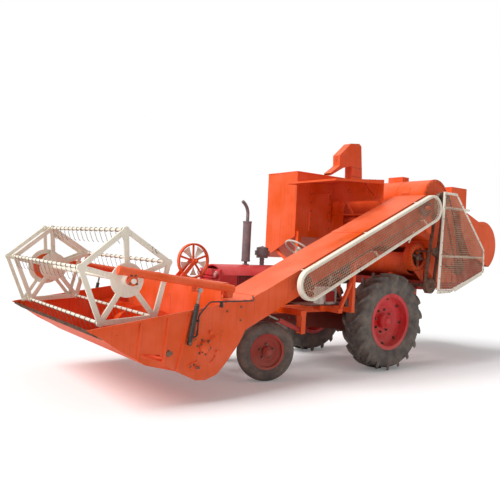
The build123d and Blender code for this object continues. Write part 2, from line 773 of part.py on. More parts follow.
def header_side(side):
    """A side plate with its top flange and three ribs; the left one has the knife drive's window."""
    outer = HEADER_Y[1] if side > 0 else HEADER_Y[0]
    inner = outer - side * SHEET
    plate_y = (min(outer, inner), max(outer, inner))
    shape = slab(outline(*side_points()), plate_y)
    if side > 0:
        shape -= slab(outline(*KNIFE_WINDOW), (inner - 1, outer + 1))
    rib_y = (min(outer, outer + side * 14), max(outer, outer + side * 14))
    for top_x, low in ((4000, (4026, 525)), (3706, (3745, 470)), (3460, (3590, 385))):
        top_z = SIDE_TOP_FRONT[1] + (SIDE_TOP_FRONT[0] - top_x) * SIDE_SLOPE
        shape += bar((top_x, mid(rib_y), top_z - 10), (low[0], mid(rib_y), low[1]), 22, 14)
    a, b = SIDE_TOP_FRONT, SIDE_TOP_REAR
    shape += bar((a[0] - 40, mid(rib_y), a[1] - 8), (b[0], mid(rib_y), b[1] - 14), 28, 14)
    foot = (RAM_FOOT[0], RAM_FOOT[1])
    shape += across(*foot, sided((side * outer, side * outer + RAM_OUTSET + 20), side), RAM_PIN_R)
    bearing_y = sided((side * outer, side * outer + BEARING), side)
    shape += across(AUGER_X, AUGER_Z, bearing_y, 62)
    shape -= across(AUGER_X, AUGER_Z, (outer - 50, outer + 50), AUGER_SHAFT_R + RUN)
    return shape


SIDE_SLOPE = (SIDE_TOP_REAR[1] - SIDE_TOP_FRONT[1]) / (SIDE_TOP_FRONT[0] - SIDE_TOP_REAR[0])
BEAM_X = (BACK_X + SHEET - BEAM, BACK_X + SHEET)
DRIVE_HUB = (2775.0, 1440.0)
DRIVE_Y = 80.0
DRIVE_R = 218.0
PIVOT_PIN_R = 20.0
EAR_IN = 70.0  # from an arm's middle to the ear on the beam
EAR = 14.0


HOSE_R = 8.0
HOSE_Y = HEADER_Y[1] + 42
HOSE_POINTS = (
    (3436, HOSE_Y, 716),
    (3393, HOSE_Y, 730),
    (3386, HOSE_Y, 935),
    (3258, HOSE_Y, 1069),
    (2705, HOSE_Y, 1070),
    (2640, HOSE_Y - 75, 1090),
    (2600, HOSE_Y - 150, 1103),
)
HOSE_BENDS = (24.0, 90.0, 70.0, 50.0, 40.0)


def reel_hose():
    """The left reel ram's hose, held by two clips and lying on the feeder's cover at its end."""
    route = FilletPolyline(*HOSE_POINTS, radius=list(HOSE_BENDS))
    shape = sweep(Plane(origin=route @ 0, z_dir=route % 0) * RegularPolygon(HOSE_R, 8), path=route)
    for x, y, z in ((3388, HEADER_Y[1], (870, 886)), (3110, HEADER_Y[1] + 14, (1008, 1074))):
        shape += block((x - 9, x + 9), (y, HOSE_Y + HOSE_R + 3), z)
    return shape


def header_beam():
    """Square tube on the back wall, with the ears of the reel arms and the drive stand."""
    z = (WALL_TOP, WALL_TOP + BEAM)
    y = (ARM_Y[0] + EAR_IN - EAR / 2, ARM_Y[1] - EAR_IN + EAR / 2)
    shape = block(BEAM_X, y, z)
    for ear_y in ((y[0], y[0] + EAR), (y[1] - EAR, y[1])):
        shape += block((BEAM_X[0], BACK_X), ear_y, (ARM_PIVOT[1] - 40, WALL_TOP))
    shape += block((BEAM_X[0], BACK_X), (y[0], y[1]), (WALL_TOP - 12, WALL_TOP))
    for side in (1, -1):
        y0 = DRIVE_Y + side * 62
        strut_y = (y0 - 6, y0 + 6)
        strut = slab(
            outline(
                (BEAM_X[0] + 8, z[1]),
                (BEAM_X[1], z[1]),
                (DRIVE_HUB[0] + 22, DRIVE_HUB[1] + 16),
                (DRIVE_HUB[0] - 20, DRIVE_HUB[1]),
            ),
            strut_y,
        )
        shape += strut + across(*DRIVE_HUB, strut_y, 34)
    shape -= across(*DRIVE_HUB, (DRIVE_Y - 90, DRIVE_Y + 90), 16 + RUN)
    shape -= across(*ARM_PIVOT, (y[0] - 40, y[1] + 40), PIVOT_PIN_R + RUN)
    return shape


def reel_drive_wheel():
    """The large spoked pulley of the reel drive on its short shaft."""
    rim_y = (DRIVE_Y - 22, DRIVE_Y + 22)
    shape = across(*DRIVE_HUB, rim_y, DRIVE_R, DRIVE_R - 22)
    shape += across(*DRIVE_HUB, (DRIVE_Y - 30, DRIVE_Y + 30), 34)
    for n in range(5):
        a = polar(DRIVE_HUB, 20, 88 + 72 * n)
        b = polar(DRIVE_HUB, DRIVE_R - 10, 88 + 72 * n)
        shape += bar((a[0], DRIVE_Y, a[1]), (b[0], DRIVE_Y, b[1]), 24, 12)
    shape += across(*DRIVE_HUB, (DRIVE_Y - 95, DRIVE_Y + 95), 16)
    return shape


def cutter_bar():
    """The bar under the floor's front edge and its pointed guards."""
    slope = degrees(atan2(FLOOR_END[1] - FLOOR_BEND[1], FLOOR_END[0] - FLOOR_BEND[0]))
    y = INSIDE_Y
    shape = block((0, 46), y, (-8, 8))
    pitch = (y[1] - y[0]) / GUARDS
    for n in range(GUARDS):
        c = y[0] + pitch * (n + 0.5)
        point = Polygon((40, c - 15), (40, c + 15), (95, c + 13), (150, c), (95, c - 13), align=None)
        shape += Pos(0, 0, -14) * extrude(point, 22, dir=(0, 0, 1))
    return Pos(FLOOR_END[0], 0, FLOOR_END[1]) * Rot(0, -slope, 0) * Pos(0, 0, -SHEET / 2) * shape


def header_auger():
    """Tube with right-hand and left-hand flights and the fingers at the feeder's mouth."""
    y0, y1 = INSIDE_Y[0] + 12, INSIDE_Y[1] - 12
    tube = Cylinder(AUGER_TUBE_R, y1 - y0) - Cylinder(AUGER_TUBE_R - WALL, y1 - y0 + 2)
    for end in (1, -1):
        tube += Pos(0, 0, end * ((y1 - y0) / 2 - 30)) * Cylinder(AUGER_TUBE_R - WALL, 12)
    tube += Cylinder(AUGER_SHAFT_R, HEADER_Y[1] - HEADER_Y[0] + 2 * BEARING + 16)
    mouth = FEEDER_Y[0] + 20

    def flight(length, left):
        path = Helix(AUGER_PITCH, length, AUGER_TUBE_R, lefthand=left)
        root = Plane(origin=(AUGER_TUBE_R - 4, 0, 0), x_dir=(1, 0, 0), z_dir=(0, 1, 0))
        height = AUGER_R - AUGER_TUBE_R + 4
        return sweep(root * Pos(height / 2, 0) * Rectangle(height, SHEET), path=path, is_frenet=True)

    base = y0 - mid((y0, y1))
    long = mouth - y0 - 40
    shape = tube + Pos(0, 0, base + 20) * flight(long, True)
    fingers = 8
    for n in range(fingers):
        along = mouth + 60 + (y1 - mouth - 120) * n / (fingers - 1) - mid((y0, y1))
        shape += Pos(0, 0, along) * Rot(0, 0, 135 * n) * Pos(AUGER_R / 2, 0, 0) * Box(AUGER_R, 14, 14)
    return Pos(AUGER_X, mid((y0, y1)), AUGER_Z) * Rot(-90, 0, 0) * shape


# Reel


def bat_centre(n):
    return polar((REEL_X, REEL_Z), REEL_R, REEL_PHASE + 360 / BATS * n)


def spider(centre, y, hole, disc_r):
    """Pentagon of flat bars with spokes and a disc; each corner has a bearing hole."""
    corners = [polar(centre, REEL_R, REEL_PHASE + 360 / BATS * n) for n in range(BATS)]
    m = mid(y)
    width, depth = SPIDER_BAR
    shape = across(*centre, y, disc_r)
    for n, corner in enumerate(corners):
        nxt = corners[(n + 1) % BATS]
        shape += bar((corner[0], m, corner[1]), (nxt[0], m, nxt[1]), width, depth)
        shape += bar((centre[0], m, centre[1]), (corner[0], m, corner[1]), width, depth)
        shape += across(*corner, y, 34)
    for corner in corners:
        shape -= across(*corner, (y[0] - 1, y[1] + 1), hole)
    return shape


def reel_frame():
    """Both spiders on the reel's shaft."""
    centre = (REEL_X, REEL_Z)
    depth = SPIDER_BAR[1]
    shape = across(*centre, (ARM_Y[0] - 50, ARM_Y[1] + 50), REEL_SHAFT_R)
    for y in ((REEL_Y[0], REEL_Y[0] + depth), (REEL_Y[1] - depth, REEL_Y[1])):
        shape += spider(centre, y, TRUNNION_R + RUN, SPIDER_DISC_R)
    return shape


TRUNNION_R = 12.0
CRANK_Y = (REEL_Y[0] - 18, REEL_Y[0] - 6)
RING_Y = (CRANK_Y[0] - 22, CRANK_Y[0] - 6)
RING_R = (160.0, 215.0)
CRANK_PIN_R = 9.0


def tine_bar(n):
    """A reel bar with its tines, its trunnions and the crank to the eccentric ring."""
    x, z = bat_centre(n)
    depth = SPIDER_BAR[1]
    inner = (REEL_Y[0] + depth + SEAT, REEL_Y[1] - depth - SEAT)
    shape = across(x, z, inner, BAT_R)
    shape += across(x, z, (CRANK_Y[0], REEL_Y[1] + 6), TRUNNION_R)
    lean = radians(TINE_TILT)
    reach = TINE_LENGTH + BAT_R
    span = inner[1] - inner[0] - 120
    for k in range(TINES):
        y = inner[0] + 60 + span * k / (TINES - 1)
        shape += bar((x, y, z), (x - reach * sin(lean), y, z - reach * cos(lean)), 2 * TINE_R, 2 * TINE_R)
    shape += bar((x, mid(CRANK_Y), z), (x + ECCENTRIC, mid(CRANK_Y), z), 26, CRANK_Y[1] - CRANK_Y[0])
    shape += across(x + ECCENTRIC, z, CRANK_Y, 13)
    shape += across(x + ECCENTRIC, z, (RING_Y[0] - 2, CRANK_Y[1]), CRANK_PIN_R)
    return shape


def eccentric_spider():
    """The second pentagon, at the right end, about a centre of its own: it keeps the tines hanging."""
    centre = (REEL_X + ECCENTRIC, REEL_Z)
    m = mid(RING_Y)
    depth = RING_Y[1] - RING_Y[0]
    corners = [polar(centre, REEL_R, REEL_PHASE + 360 / BATS * n) for n in range(BATS)]
    shape = across(*centre, RING_Y, RING_R[1], RING_R[0])
    for n, corner in enumerate(corners):
        nxt = corners[(n + 1) % BATS]
        root = polar(centre, mid(RING_R), REEL_PHASE + 360 / BATS * n)
        shape += bar((corner[0], m, corner[1]), (nxt[0], m, nxt[1]), 40, depth)
        shape += bar((root[0], m, root[1]), (corner[0], m, corner[1]), 40, depth)
        shape += across(*corner, RING_Y, 26)
    for corner in corners:
        shape -= across(*corner, (RING_Y[0] - 1, RING_Y[1] + 1), CRANK_PIN_R + RUN)
    return shape


def reel_arms():
    """Two arms on pins at the beam, with the reel's bearings, the rams' lugs and the eccentric disc."""
    shape = None
    for side, y in ((-1, ARM_Y[0]), (1, ARM_Y[1])):
        arm = rod((ARM_START[0], y, ARM_START[1]), (ARM_END[0], y, ARM_END[1]), ARM_R)
        plate_y = (y - 20, y + 20)
        arm += slab(
            outline(
                (ARM_START[0] + 10, ARM_START[1]),
                (ARM_PIVOT[0] - 30, ARM_PIVOT[1] - 28),
                (ARM_PIVOT[0] + 30, ARM_PIVOT[1] - 28),
                (ARM_PIVOT[0] + 60, ARM_START[1] + 10),
            ),
            plate_y,
        )
        arm += across(*ARM_PIVOT, sided((side * y - EAR_IN - EAR, side * y + 24), side), PIVOT_PIN_R)
        bearing_y = (y - 30, y + 30)
        arm += across(REEL_X, REEL_Z, bearing_y, 48)
        arm += block((REEL_X - 34, REEL_X + 34), bearing_y, (REEL_Z, REEL_Z + 70))
        eye_y = ram_y(side)
        arm += block((RAM_EYE[0] - 24, RAM_EYE[0] + 24), plate_y, (RAM_EYE[1] - 24, RAM_EYE[1] + 70))
        arm += across(*RAM_EYE, sided((side * y, side * eye_y - EYE - SEAT), side), RAM_PIN_R)
        shape = arm if shape is None else shape + arm
    centre = (REEL_X + ECCENTRIC, REEL_Z)
    shape += across(*centre, (ARM_Y[0] + 20, RING_Y[1]), RING_R[0] - SEAT)
    for y in ARM_Y:
        shape -= across(REEL_X, REEL_Z, (y - 60, y + 35), REEL_SHAFT_R + RUN)
    shape -= across(REEL_X, REEL_Z, (ARM_Y[0] + 35, RING_Y[1] + 1), REEL_SHAFT_R + 6)
    return shape


def ram_y(side):
    """The middle of a reel ram, beside the side plate."""
    return HEADER_Y[1] + RAM_OUTSET if side > 0 else HEADER_Y[0] - RAM_OUTSET


def towards(a, b, distance):
    """The point at a distance from a on the line to b, in side view."""
    length = hypot(b[0] - a[0], b[1] - a[1])
    return (a[0] + (b[0] - a[0]) * distance / length, a[1] + (b[1] - a[1]) * distance / length)


RAM_BARREL = 400.0


def ram_barrel(foot, eye, y, length, radius, pin_r, bore):
    """A cylinder barrel with the eye at its foot and a bore for the rod."""
    start = towards(foot, eye, 19)
    end = towards(foot, eye, length)
    shape = rod((start[0], y, start[1]), (end[0], y, end[1]), radius)
    shape += across(*foot, (y - 16, y + 16), 24)
    shape -= across(*foot, (y - 20, y + 20), pin_r + RUN)
    hole = towards(foot, eye, 60)
    past = towards(foot, eye, length + 10)
    shape -= rod((hole[0], y, hole[1]), (past[0], y, past[1]), bore + RUN)
    return shape


def ram_rod(foot, eye, y, inside, radius):
    """A cylinder rod with the eye at its head; the pin's ends lie against the eye's faces."""
    start = towards(foot, eye, inside)
    end = towards(eye, foot, 18)
    shape = rod((start[0], y, start[1]), (end[0], y, end[1]), radius)
    return shape + across(*eye, (y - EYE, y + EYE), 24)


def reel_rams():
    barrels, rods = [], []
    for side in (1, -1):
        y = ram_y(side)
        barrels.append(ram_barrel(RAM_FOOT, RAM_EYE, y, RAM_BARREL, RAM_R, RAM_PIN_R, 12))
        rods.append(ram_rod(RAM_FOOT, RAM_EYE, y, 120, 12))
    return Compound(children=[s for b in barrels for s in b.solids()]), Compound(
        children=[s for r in rods for s in r.solids()]
    )


# Threshing unit


def drum_housing():
    """Round cover of the threshing drum: a closed sheet drum with a box on top and a hatch in front."""
    shape = across(*DRUM, DRUM_Y, DRUM_R)
    top = DRUM[1] + DRUM_R
    shape += block((DRUM[0] - 75, DRUM[0] + 75), (195, 470), (top - 20, top + 70))
    front = DRUM[0] + DRUM_R
    hatch = block((front - 12, front + 6), (630, 765), (DRUM[1] - 48, DRUM[1] + 48))
    shape += about_y(hatch, DRUM, 23)
    return shape - across(*DRUM, (DRUM_Y[0] + WALL, DRUM_Y[1] - WALL), DRUM_R - WALL)


FRONT_WALL_X = -500.0
FAN_WALL_X = -715.0


def body_outline(inset):
    """Side view of the cleaning box, from the drum down to the chaff outlet."""
    i = inset
    return outline(
        (FRONT_WALL_X - i, 2150),
        (FRONT_WALL_X - i, 1935 + i),
        (FAN_WALL_X - i, 1850 + i),
        (FAN_WALL_X - i, 1420),
        (-950 - i, BODY_FOOT + i),
        (-1420 + i, BODY_FOOT + i),
        (-1440 + i, 1600),
        (-1300 + i, 2150),
        (-1240 + i, 2450 - i),
        (-900, 2450 - i),
    )


BRACKET = 14.0  # bearing plates of the feeder's upper shaft


def thresher_body():
    """Cleaning box under the drum, open behind, with the feeder's bearing plates in front."""
    shape = slab(body_outline(0), BODY_Y)
    inner_y = (BODY_Y[0] + WALL, BODY_Y[1] - WALL)
    shape -= slab(body_outline(WALL), inner_y)
    shape -= block((-1500, -1400), (inner_y[0] + 40, inner_y[1] - 40), (BODY_FOOT + 40, 1640))
    front = FRONT_WALL_X
    right_plate = (FEEDER_Y[0] - GAP - BRACKET, FEEDER_Y[0] - GAP)
    left_plate = (FEEDER_Y[1] + GAP, FEEDER_Y[1] + GAP + BRACKET)
    plates = (right_plate, left_plate)
    shape += block((front, front + 70), (plates[0][0] - 120, plates[1][1]), (1955, 2015))
    plate = outline(
        (front, 1955),
        (front + 70, 1955),
        (PIVOT_X + 60, PIVOT_Z - 40),
        (PIVOT_X + 60, PIVOT_Z + 50),
        (PIVOT_X - 50, PIVOT_Z + 50),
        (front, 2120),
    )
    for y in plates:
        shape += slab(plate, y)
    shape -= across(PIVOT_X, PIVOT_Z, (plates[0][0] - 1, plates[1][1] + 1), PIVOT_R + RUN)
    shape -= across(*DRUM, (BODY_Y[0] - 1, BODY_Y[1] + 1), DRUM_R)
    shape -= across(*FAN, (BODY_Y[0] - 1, BODY_Y[1] + 1), FAN_R)
    shape -= across(*DUCT, (-FAN_INNER_Y, FAN_INNER_Y), DUCT_R)
    return shape


def fan_housing():
    """A round fan casing at each end, open at its outer plate, with a tube between the two."""
    shape = across(*DUCT, (-FAN_INNER_Y, FAN_INNER_Y), DUCT_R)
    shape -= across(*DUCT, (-FAN_INNER_Y - 1, FAN_INNER_Y + 1), DUCT_R - WALL)
    for side in (1, -1):
        end = FAN_Y[1]
        wall_y = sided((end - WALL, end), side)
        shape += across(*FAN, sided((FAN_INNER_Y, end), side), FAN_R)
        shape -= across(*FAN, sided((FAN_INNER_Y + WALL, end - WALL), side), FAN_R - WALL)
        shape -= across(*FAN, sided((end - WALL - 1, end + 1), side), FAN_INLET_R)
        reach = FAN_INLET_R + 6
        spider = block((FAN[0] - 24, FAN[0] + 24), wall_y, (FAN[1] - reach, FAN[1] + reach))
        foot = outline((FAN[0] + 150, FAN[1] - 135), (-730, 1215), (-712, 1400), (-705, FAN[1] - 60))
        shape += spider + (slab(foot, wall_y) - across(*FAN, (-end, end), FAN_R - WALL))
    shape -= across(*FAN, (FAN_Y[0] - 2, FAN_Y[1] + 2), FAN_SHAFT_R + RUN)
    return shape


FAN_SHAFT_R = 20.0


def fan_rotor():
    """Shaft with four paddles in each casing."""
    shape = across(*FAN, (FAN_Y[0] - 40, FAN_Y[1] + 40), FAN_SHAFT_R)
    for side in (1, -1):
        paddle_y = sided((FAN_INNER_Y + 30, FAN_Y[1] - 30), side)
        for n in range(4):
            paddle = block((0, FAN_R - 30), paddle_y, (-4, 4))
            shape += Pos(FAN[0], 0, FAN[1]) * Rot(0, 90 * n + 20, 0) * paddle
    return shape


HOOD_Y = (350.0, 1080.0)


def straw_hood():
    """Curved hood that throws the straw down behind, open below, and the box on top."""
    t = WALL
    edges = Polyline((-1250, 2390), (-1420, 2330), (-1800, 2195))
    edges += ThreePointArc((-1800, 2195), (-2280, 1930), (-2120, 1500))
    edges += Line((-2120, 1500), (-2120 + t, 1500))
    edges += ThreePointArc((-2120 + t, 1500), (-2280 + t, 1925), (-1800, 2195 - t))
    edges += Polyline((-1800, 2195 - t), (-1420, 2330 - t), (-1310, 2365 - t), (-1250, 2390))
    shape = slab(make_face(edges), HOOD_Y)
    cheek = Polyline((-1260, 2375), (-1420, 2328), (-1800, 2193))
    cheek += ThreePointArc((-1800, 2193), (-2278, 1930), (-2118, 1500))
    cheek += Polyline((-2118, 1500), (-1560, 1700), (-1330, 2060), (-1260, 2375))
    face = make_face(cheek)
    for y in ((HOOD_Y[0], HOOD_Y[0] + t), (HOOD_Y[1] - t, HOOD_Y[1])):
        shape += slab(face, y)
    box_y = (HOOD_Y[0] + 60, HOOD_Y[1] - 180)
    outer = slab(outline((-1300, 2320), (-1700, 2200), (-1690, 2712), (-1300, 2712)), box_y)
    hollow = outline((-1310, 2310), (-1690, 2190), (-1680, 2720), (-1310, 2720))
    outer -= slab(hollow, (box_y[0] + t, box_y[1] - t))
    return shape + outer - slab(body_outline(0), (HOOD_Y[0] - 1, HOOD_Y[1] + 1))


ELEVATOR_Y = (-760.0, -600.0)
ELEVATOR_SIDE = (
    (-911, 2450), (-672, 2450), (-650, 3066), (-447, 3017), (-175, 2864), (-167, 2903), (-347, 3033),
    (-366, 3054), (-355, 3217), (-602, 3441), (-803, 3464), (-856, 3424), (-908, 2911),
)
SPOUT_MOUTH = ((-199, 2887), (-194, 2912), (-151, 2885), (-156, 2860))


def grain_elevator():
    """Grain elevator standing on the drum's cover, with its head and the spout into the tank."""
    side = outline(*ELEVATOR_SIDE)
    y = ELEVATOR_Y
    shape = slab(side, y)
    hollow = offset(side, -SHEET, kind=Kind.INTERSECTION) + outline(*SPOUT_MOUTH)
    shape -= slab(hollow, (y[0] + SHEET, y[1] - SHEET))
    return shape - across(*DRUM, (y[0] - 1, y[1] + 1), DRUM_R)


def tank_end(i):
    """The tank's end view, (y, z), set inwards by i with the top left open."""
    y0, y1 = TANK_Y
    low = ((y0 + i, TANK_LOW[0] + i), (y1 - i, TANK_LOW[1] + i))
    return Polygon(*low, (y1 - i, TANK_TOP + i), (y0 + i, TANK_TOP + i), align=None)


TANK_RIB_X = (-5.0, 392.0)
RIB_TOP = 2560.0


def grain_tank():
    """Sheet bin with a sloping bottom, open on top under the elevator's spout."""
    x0, x1 = TANK_X
    inner = Plane(origin=(x0 + WALL, 0, 0), x_dir=(0, 1, 0), z_dir=(1, 0, 0))
    shape = tank_envelope() - extrude(inner * tank_end(WALL), x1 - x0 - 2 * WALL)
    for x in TANK_RIB_X:
        shape += block((x - 14, x + 14), (TANK_Y[1], TANK_Y[1] + 24), (TANK_LOW[1] + 100, RIB_TOP))
    shape += block(TANK_RIB_X, (TANK_Y[1], TANK_Y[1] + 24), (RIB_TOP - 36, RIB_TOP - 12))
    return shape


PANEL_LOW = 2410.0  # foot of the solid part of the panel behind the driver


def canopy():
    """Roof falling to the front, its edge flanges, and the panel, braces, lattice and posts behind."""
    x0, x1 = ROOF_X
    inner, outer = ROOF_Y[0] + SEAT, ROOF_Y[1]
    rear, front = ROOF_Z

    def sheet(y, rear_depth, front_depth):
        return slab(outline((x0, rear), (x1, front), (x1, front - front_depth), (x0, rear - rear_depth)), y)

    shape = sheet((inner, outer), SHEET, SHEET)
    for y in ((inner, inner + SHEET), (outer - SHEET, outer)):
        shape += sheet(y, 62, 26)
    shape += block((x1 - SHEET, x1), (inner, outer), (front - 26, front))
    shape += block((x0, x0 + SHEET), (inner, outer), (PANEL_LOW, rear))
    left = FEEDER_Y[0] - 15
    for y in ((left - 40, left), (inner + 4, inner + 30), (-286, -262)):
        shape += block((x0, x0 + 30), y, (2080, PANEL_LOW + 20))
    shape += block((x0, x0 + 24), (inner + 4, left), (2202, 2224))
    shape += block((x0, x0 + 30), (inner, outer), (PANEL_LOW, PANEL_LOW + 26))
    braces = (
        ((175, 2690), (425, 2440)),
        ((478, 2690), (425, 2440)),
        ((-149, 2415), (-262, 2214)),
        ((-149, 2415), (12, 2214)),
    )
    for (ya, za), (yb, zb) in braces:
        shape += bar((x0 + 14, ya, za), (x0 + 14, yb, zb), 26, 22, (1, 0, 0))
    return shape


GUARD_TIE_R = 12.0


def rear_guard():
    """Mesh guard over the belts at the left end, in a flat frame held by three tie rods."""
    y1 = REAR_GUARD_Y
    face = outline((-550, 2550), (-850, 2550), (-1620, 1767), (-1640, 1426), (-800, 1120), (-510, 1110))
    inner = offset(face, -30)
    shape = slab(face, (y1 - 20, y1)) - slab(inner, (y1 - 30, y1 + 10))
    wires = None
    for n in range(23):
        z = 1150 + 62 * n
        wire = block((-1700, -500), (y1 - 14, y1 - 9), (z, z + 5))
        wires = wire if wires is None else wires + wire
    for n in range(18):
        x = -1640 + 62 * n
        wires += block((x, x + 5), (y1 - 14, y1 - 9), (1090, 2570))
    shape += wires & slab(offset(face, -25), (y1 - 20, y1))
    rail_y = (y1 - 30, y1 - 14)
    rails = block((-1630, -520), rail_y, (1625, 1655)) + block((-1200, -530), rail_y, (2315, 2345))
    shape += rails & slab(offset(face, -8), (y1 - 40, y1))
    for x, z, y in ((-1250, 1640, BODY_Y[1]), (-1010, 1640, BODY_Y[1]), (-920, 2330, DRUM_Y[1])):
        shape += across(x, z, (y, y1 - 20), GUARD_TIE_R)
    return shape


def main_drive():
    """Pulleys and belts at the left end: cross shaft, drum shaft and the idler between."""
    y = (1085.0, 1145.0)
    drum_r, main_r = 95.0, 110.0
    shape = across(*DRUM, y, drum_r)
    shape += across(*DRUM, (DRUM_Y[1], 1200), 28)
    shape += across(*MAIN_PULLEY, y, main_r)
    shape += across(*MAIN_PULLEY, (RAIL_Y - RAIL_W / 2, 1180), MAIN_SHAFT_R)
    a0, a1 = (DRUM[0] + drum_r - 8, DRUM[1]), (MAIN_PULLEY[0] + main_r - 8, MAIN_PULLEY[1])
    b0, b1 = (DRUM[0] - drum_r + 8, DRUM[1]), (MAIN_PULLEY[0] - main_r + 8, MAIN_PULLEY[1])
    for p, q in ((a0, a1), (b0, b1)):
        shape += bar((p[0], mid(y), p[1]), (q[0], mid(y), q[1]), 14, 50)
    return shape


def build():
    nodes = wheels()
    for side, word in ((1, "left"), (-1, "right")):
        nodes["knuckle_" + word] = knuckle(side)
        nodes["header_side_" + word] = header_side(side)
    barrels, rods = reel_rams()
    nodes |= {
        "front_axle": front_axle(),
        "tie_rod": tie_rod(),
        "tractor_body": tractor_body(),
        "engine_block": engine_block(),
        "hood": hood(),
        "radiator_grille": radiator_grille(),
        "headlamps": headlamps(),
        "exhaust_stack": exhaust_stack(),
        "air_precleaner": air_precleaner(),
        "steering_wheel": steering_wheel(),
        "driver_seat": driver_seat(),
        "battery_box": battery_box(),
        "mounting_frame": mounting_frame(),
        "driver_platform": driver_platform(),
        "feeder_trough": feeder_trough(),
        "feeder_cover": feeder_cover(),
        "feeder_guard": feeder_guard(),
        "feeder_drive": feeder_drive(),
        "header_trough": header_trough(),
        "header_back": header_back(),
        "reel_hose": reel_hose(),
        "header_beam": header_beam(),
        "cutter_bar": cutter_bar(),
        "header_auger": header_auger(),
        "reel_drive_wheel": reel_drive_wheel(),
        "reel_frame": reel_frame(),
        "eccentric_spider": eccentric_spider(),
        "reel_arms": reel_arms(),
        "reel_ram_barrels": barrels,
        "reel_ram_rods": rods,
        "lift_barrel": ram_barrel(LIFT_FOOT, LIFT_EYE, LIFT_Y, 385, LIFT_R, LIFT_PIN_R, LIFT_ROD_R),
        "lift_rod": ram_rod(LIFT_FOOT, LIFT_EYE, LIFT_Y, 215, LIFT_ROD_R),
        "drum_housing": drum_housing(),
        "thresher_body": thresher_body(),
        "fan_housing": fan_housing(),
        "fan_rotor": fan_rotor(),
        "straw_hood": straw_hood(),
        "grain_elevator": grain_elevator(),
        "grain_tank": grain_tank(),
        "canopy": canopy(),
        "rear_guard": rear_guard(),
        "main_drive": main_drive(),
    }
    for n in range(BATS):
        nodes[f"tine_bar_{n + 1}"] = tine_bar(n)
    return nodes


os.makedirs("parts", exist_ok=True)
for name, shape in build().items():
    export_step(Pos(AXLE_X, 0, 0) * shape, f"parts/{name}.step")
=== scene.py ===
"""Looks of a combine harvester carried on a farm tractor: paint, tyres, guard mesh, fasteners and
fittings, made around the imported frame. X points forward, Y to the left, Z up. Helpers take
millimetres, with x measured from the rear axle, and the meshes are in metres."""

import json
from math import atan2, ceil, cos, hypot, pi, radians, sin

import bmesh
import bpy
from mathutils import Matrix, Vector


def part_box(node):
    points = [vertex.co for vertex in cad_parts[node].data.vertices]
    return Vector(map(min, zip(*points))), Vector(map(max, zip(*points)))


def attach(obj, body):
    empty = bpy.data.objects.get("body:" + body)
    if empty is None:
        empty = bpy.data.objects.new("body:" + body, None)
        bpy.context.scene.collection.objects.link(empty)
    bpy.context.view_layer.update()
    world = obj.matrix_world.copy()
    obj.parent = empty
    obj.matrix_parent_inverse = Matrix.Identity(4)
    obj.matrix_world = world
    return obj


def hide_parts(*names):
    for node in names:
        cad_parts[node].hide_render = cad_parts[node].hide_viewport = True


bl_info = {
    "name": "Tractor-carried combine harvester",
    "version": (1, 0, 0),
    "blender": (4, 5, 0),
    "location": "View3D > Sidebar > Harvester",
    "description": "Dresses the harvester's frame in paint, rubber, wire and fasteners",
    "category": "Object",
}

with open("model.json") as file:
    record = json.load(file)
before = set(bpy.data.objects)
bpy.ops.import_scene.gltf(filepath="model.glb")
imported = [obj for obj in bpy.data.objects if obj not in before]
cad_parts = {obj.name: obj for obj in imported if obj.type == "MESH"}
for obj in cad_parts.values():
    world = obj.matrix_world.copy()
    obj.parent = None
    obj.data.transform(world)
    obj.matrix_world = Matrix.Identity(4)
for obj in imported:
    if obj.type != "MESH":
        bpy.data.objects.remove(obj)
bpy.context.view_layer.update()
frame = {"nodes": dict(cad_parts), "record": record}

MM = 0.001
ACROSS = (0, 1, 0)  # to the machine's left
FORWARD = (1, 0, 0)
UPWARD = (0, 0, 1)


def middle(node):
    low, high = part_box(node)
    return (low + high) / 2


AXLE_X = middle("rear_tyre_left").x


def at(x, y, z):
    """A place in millimetres, from the rear axle and the ground, as a point in the frame."""
    return Vector((AXLE_X + x * MM, y * MM, z * MM))


# Colours


def linear(hex_colour):
    """An sRGB hex colour as linear red, green, blue."""
    parts = [int(hex_colour[i : i + 2], 16) / 255 for i in (1, 3, 5)]
    return tuple(c / 12.92 if c <= 0.04045 else ((c + 0.055) / 1.055) ** 2.4 for c in parts)


def rgba(colour):
    return (*colour, 1.0)


# Sizes and colours that a user may change


def colour(name, text, value):
    return bpy.props.FloatVectorProperty(
        name=name, description=text, default=linear(value), subtype="COLOR", min=0, max=1
    )


def length(name, text, value):
    return bpy.props.FloatProperty(name=name, description=text, default=value, min=0, unit="LENGTH")


def number(name, text, value):
    return bpy.props.IntProperty(name=name, description=text, default=value, min=3)


class HarvesterPaint(bpy.types.PropertyGroup):
    orange: colour("Orange enamel", "Sprayed enamel of the header, feeder, tank and drum", "#f35604")
    cream: colour("Cream enamel", "Brushed enamel of the reel and the guard frames", "#f6eddb")
    crimson: colour("Crimson enamel", "Faded enamel of the bonnet and rear wheels", "#e2474a")
    primer: colour("Red primer", "Dull primer of the front wheels and castings", "#b43f39")
    rust: colour("Rust", "Rust that shows through chips and scratches", "#6e3a24")
    # this colour is also the painted highlight laid on the upward faces of the enamels
    dust: colour("Dust", "Field dust on upward faces and low pieces", "#c8a088")


class HarvesterSizes(bpy.types.PropertyGroup):
    mesh_pitch: length("Mesh pitch", "Distance between the wires of the guards", 0.03)
    mesh_wire: length("Mesh wire", "Radius of the wires of the guards", 0.0038)
    tine_wire: length("Tine wire", "Radius of a reel tine", 0.003)
    rivet_pitch: length("Rivet pitch", "Distance between the rivets along sheet edges", 0.09)
    front_nuts: number("Front nuts", "Nuts on a front wheel", 5)
    rear_nuts: number("Rear nuts", "Nuts on a rear wheel", 8)


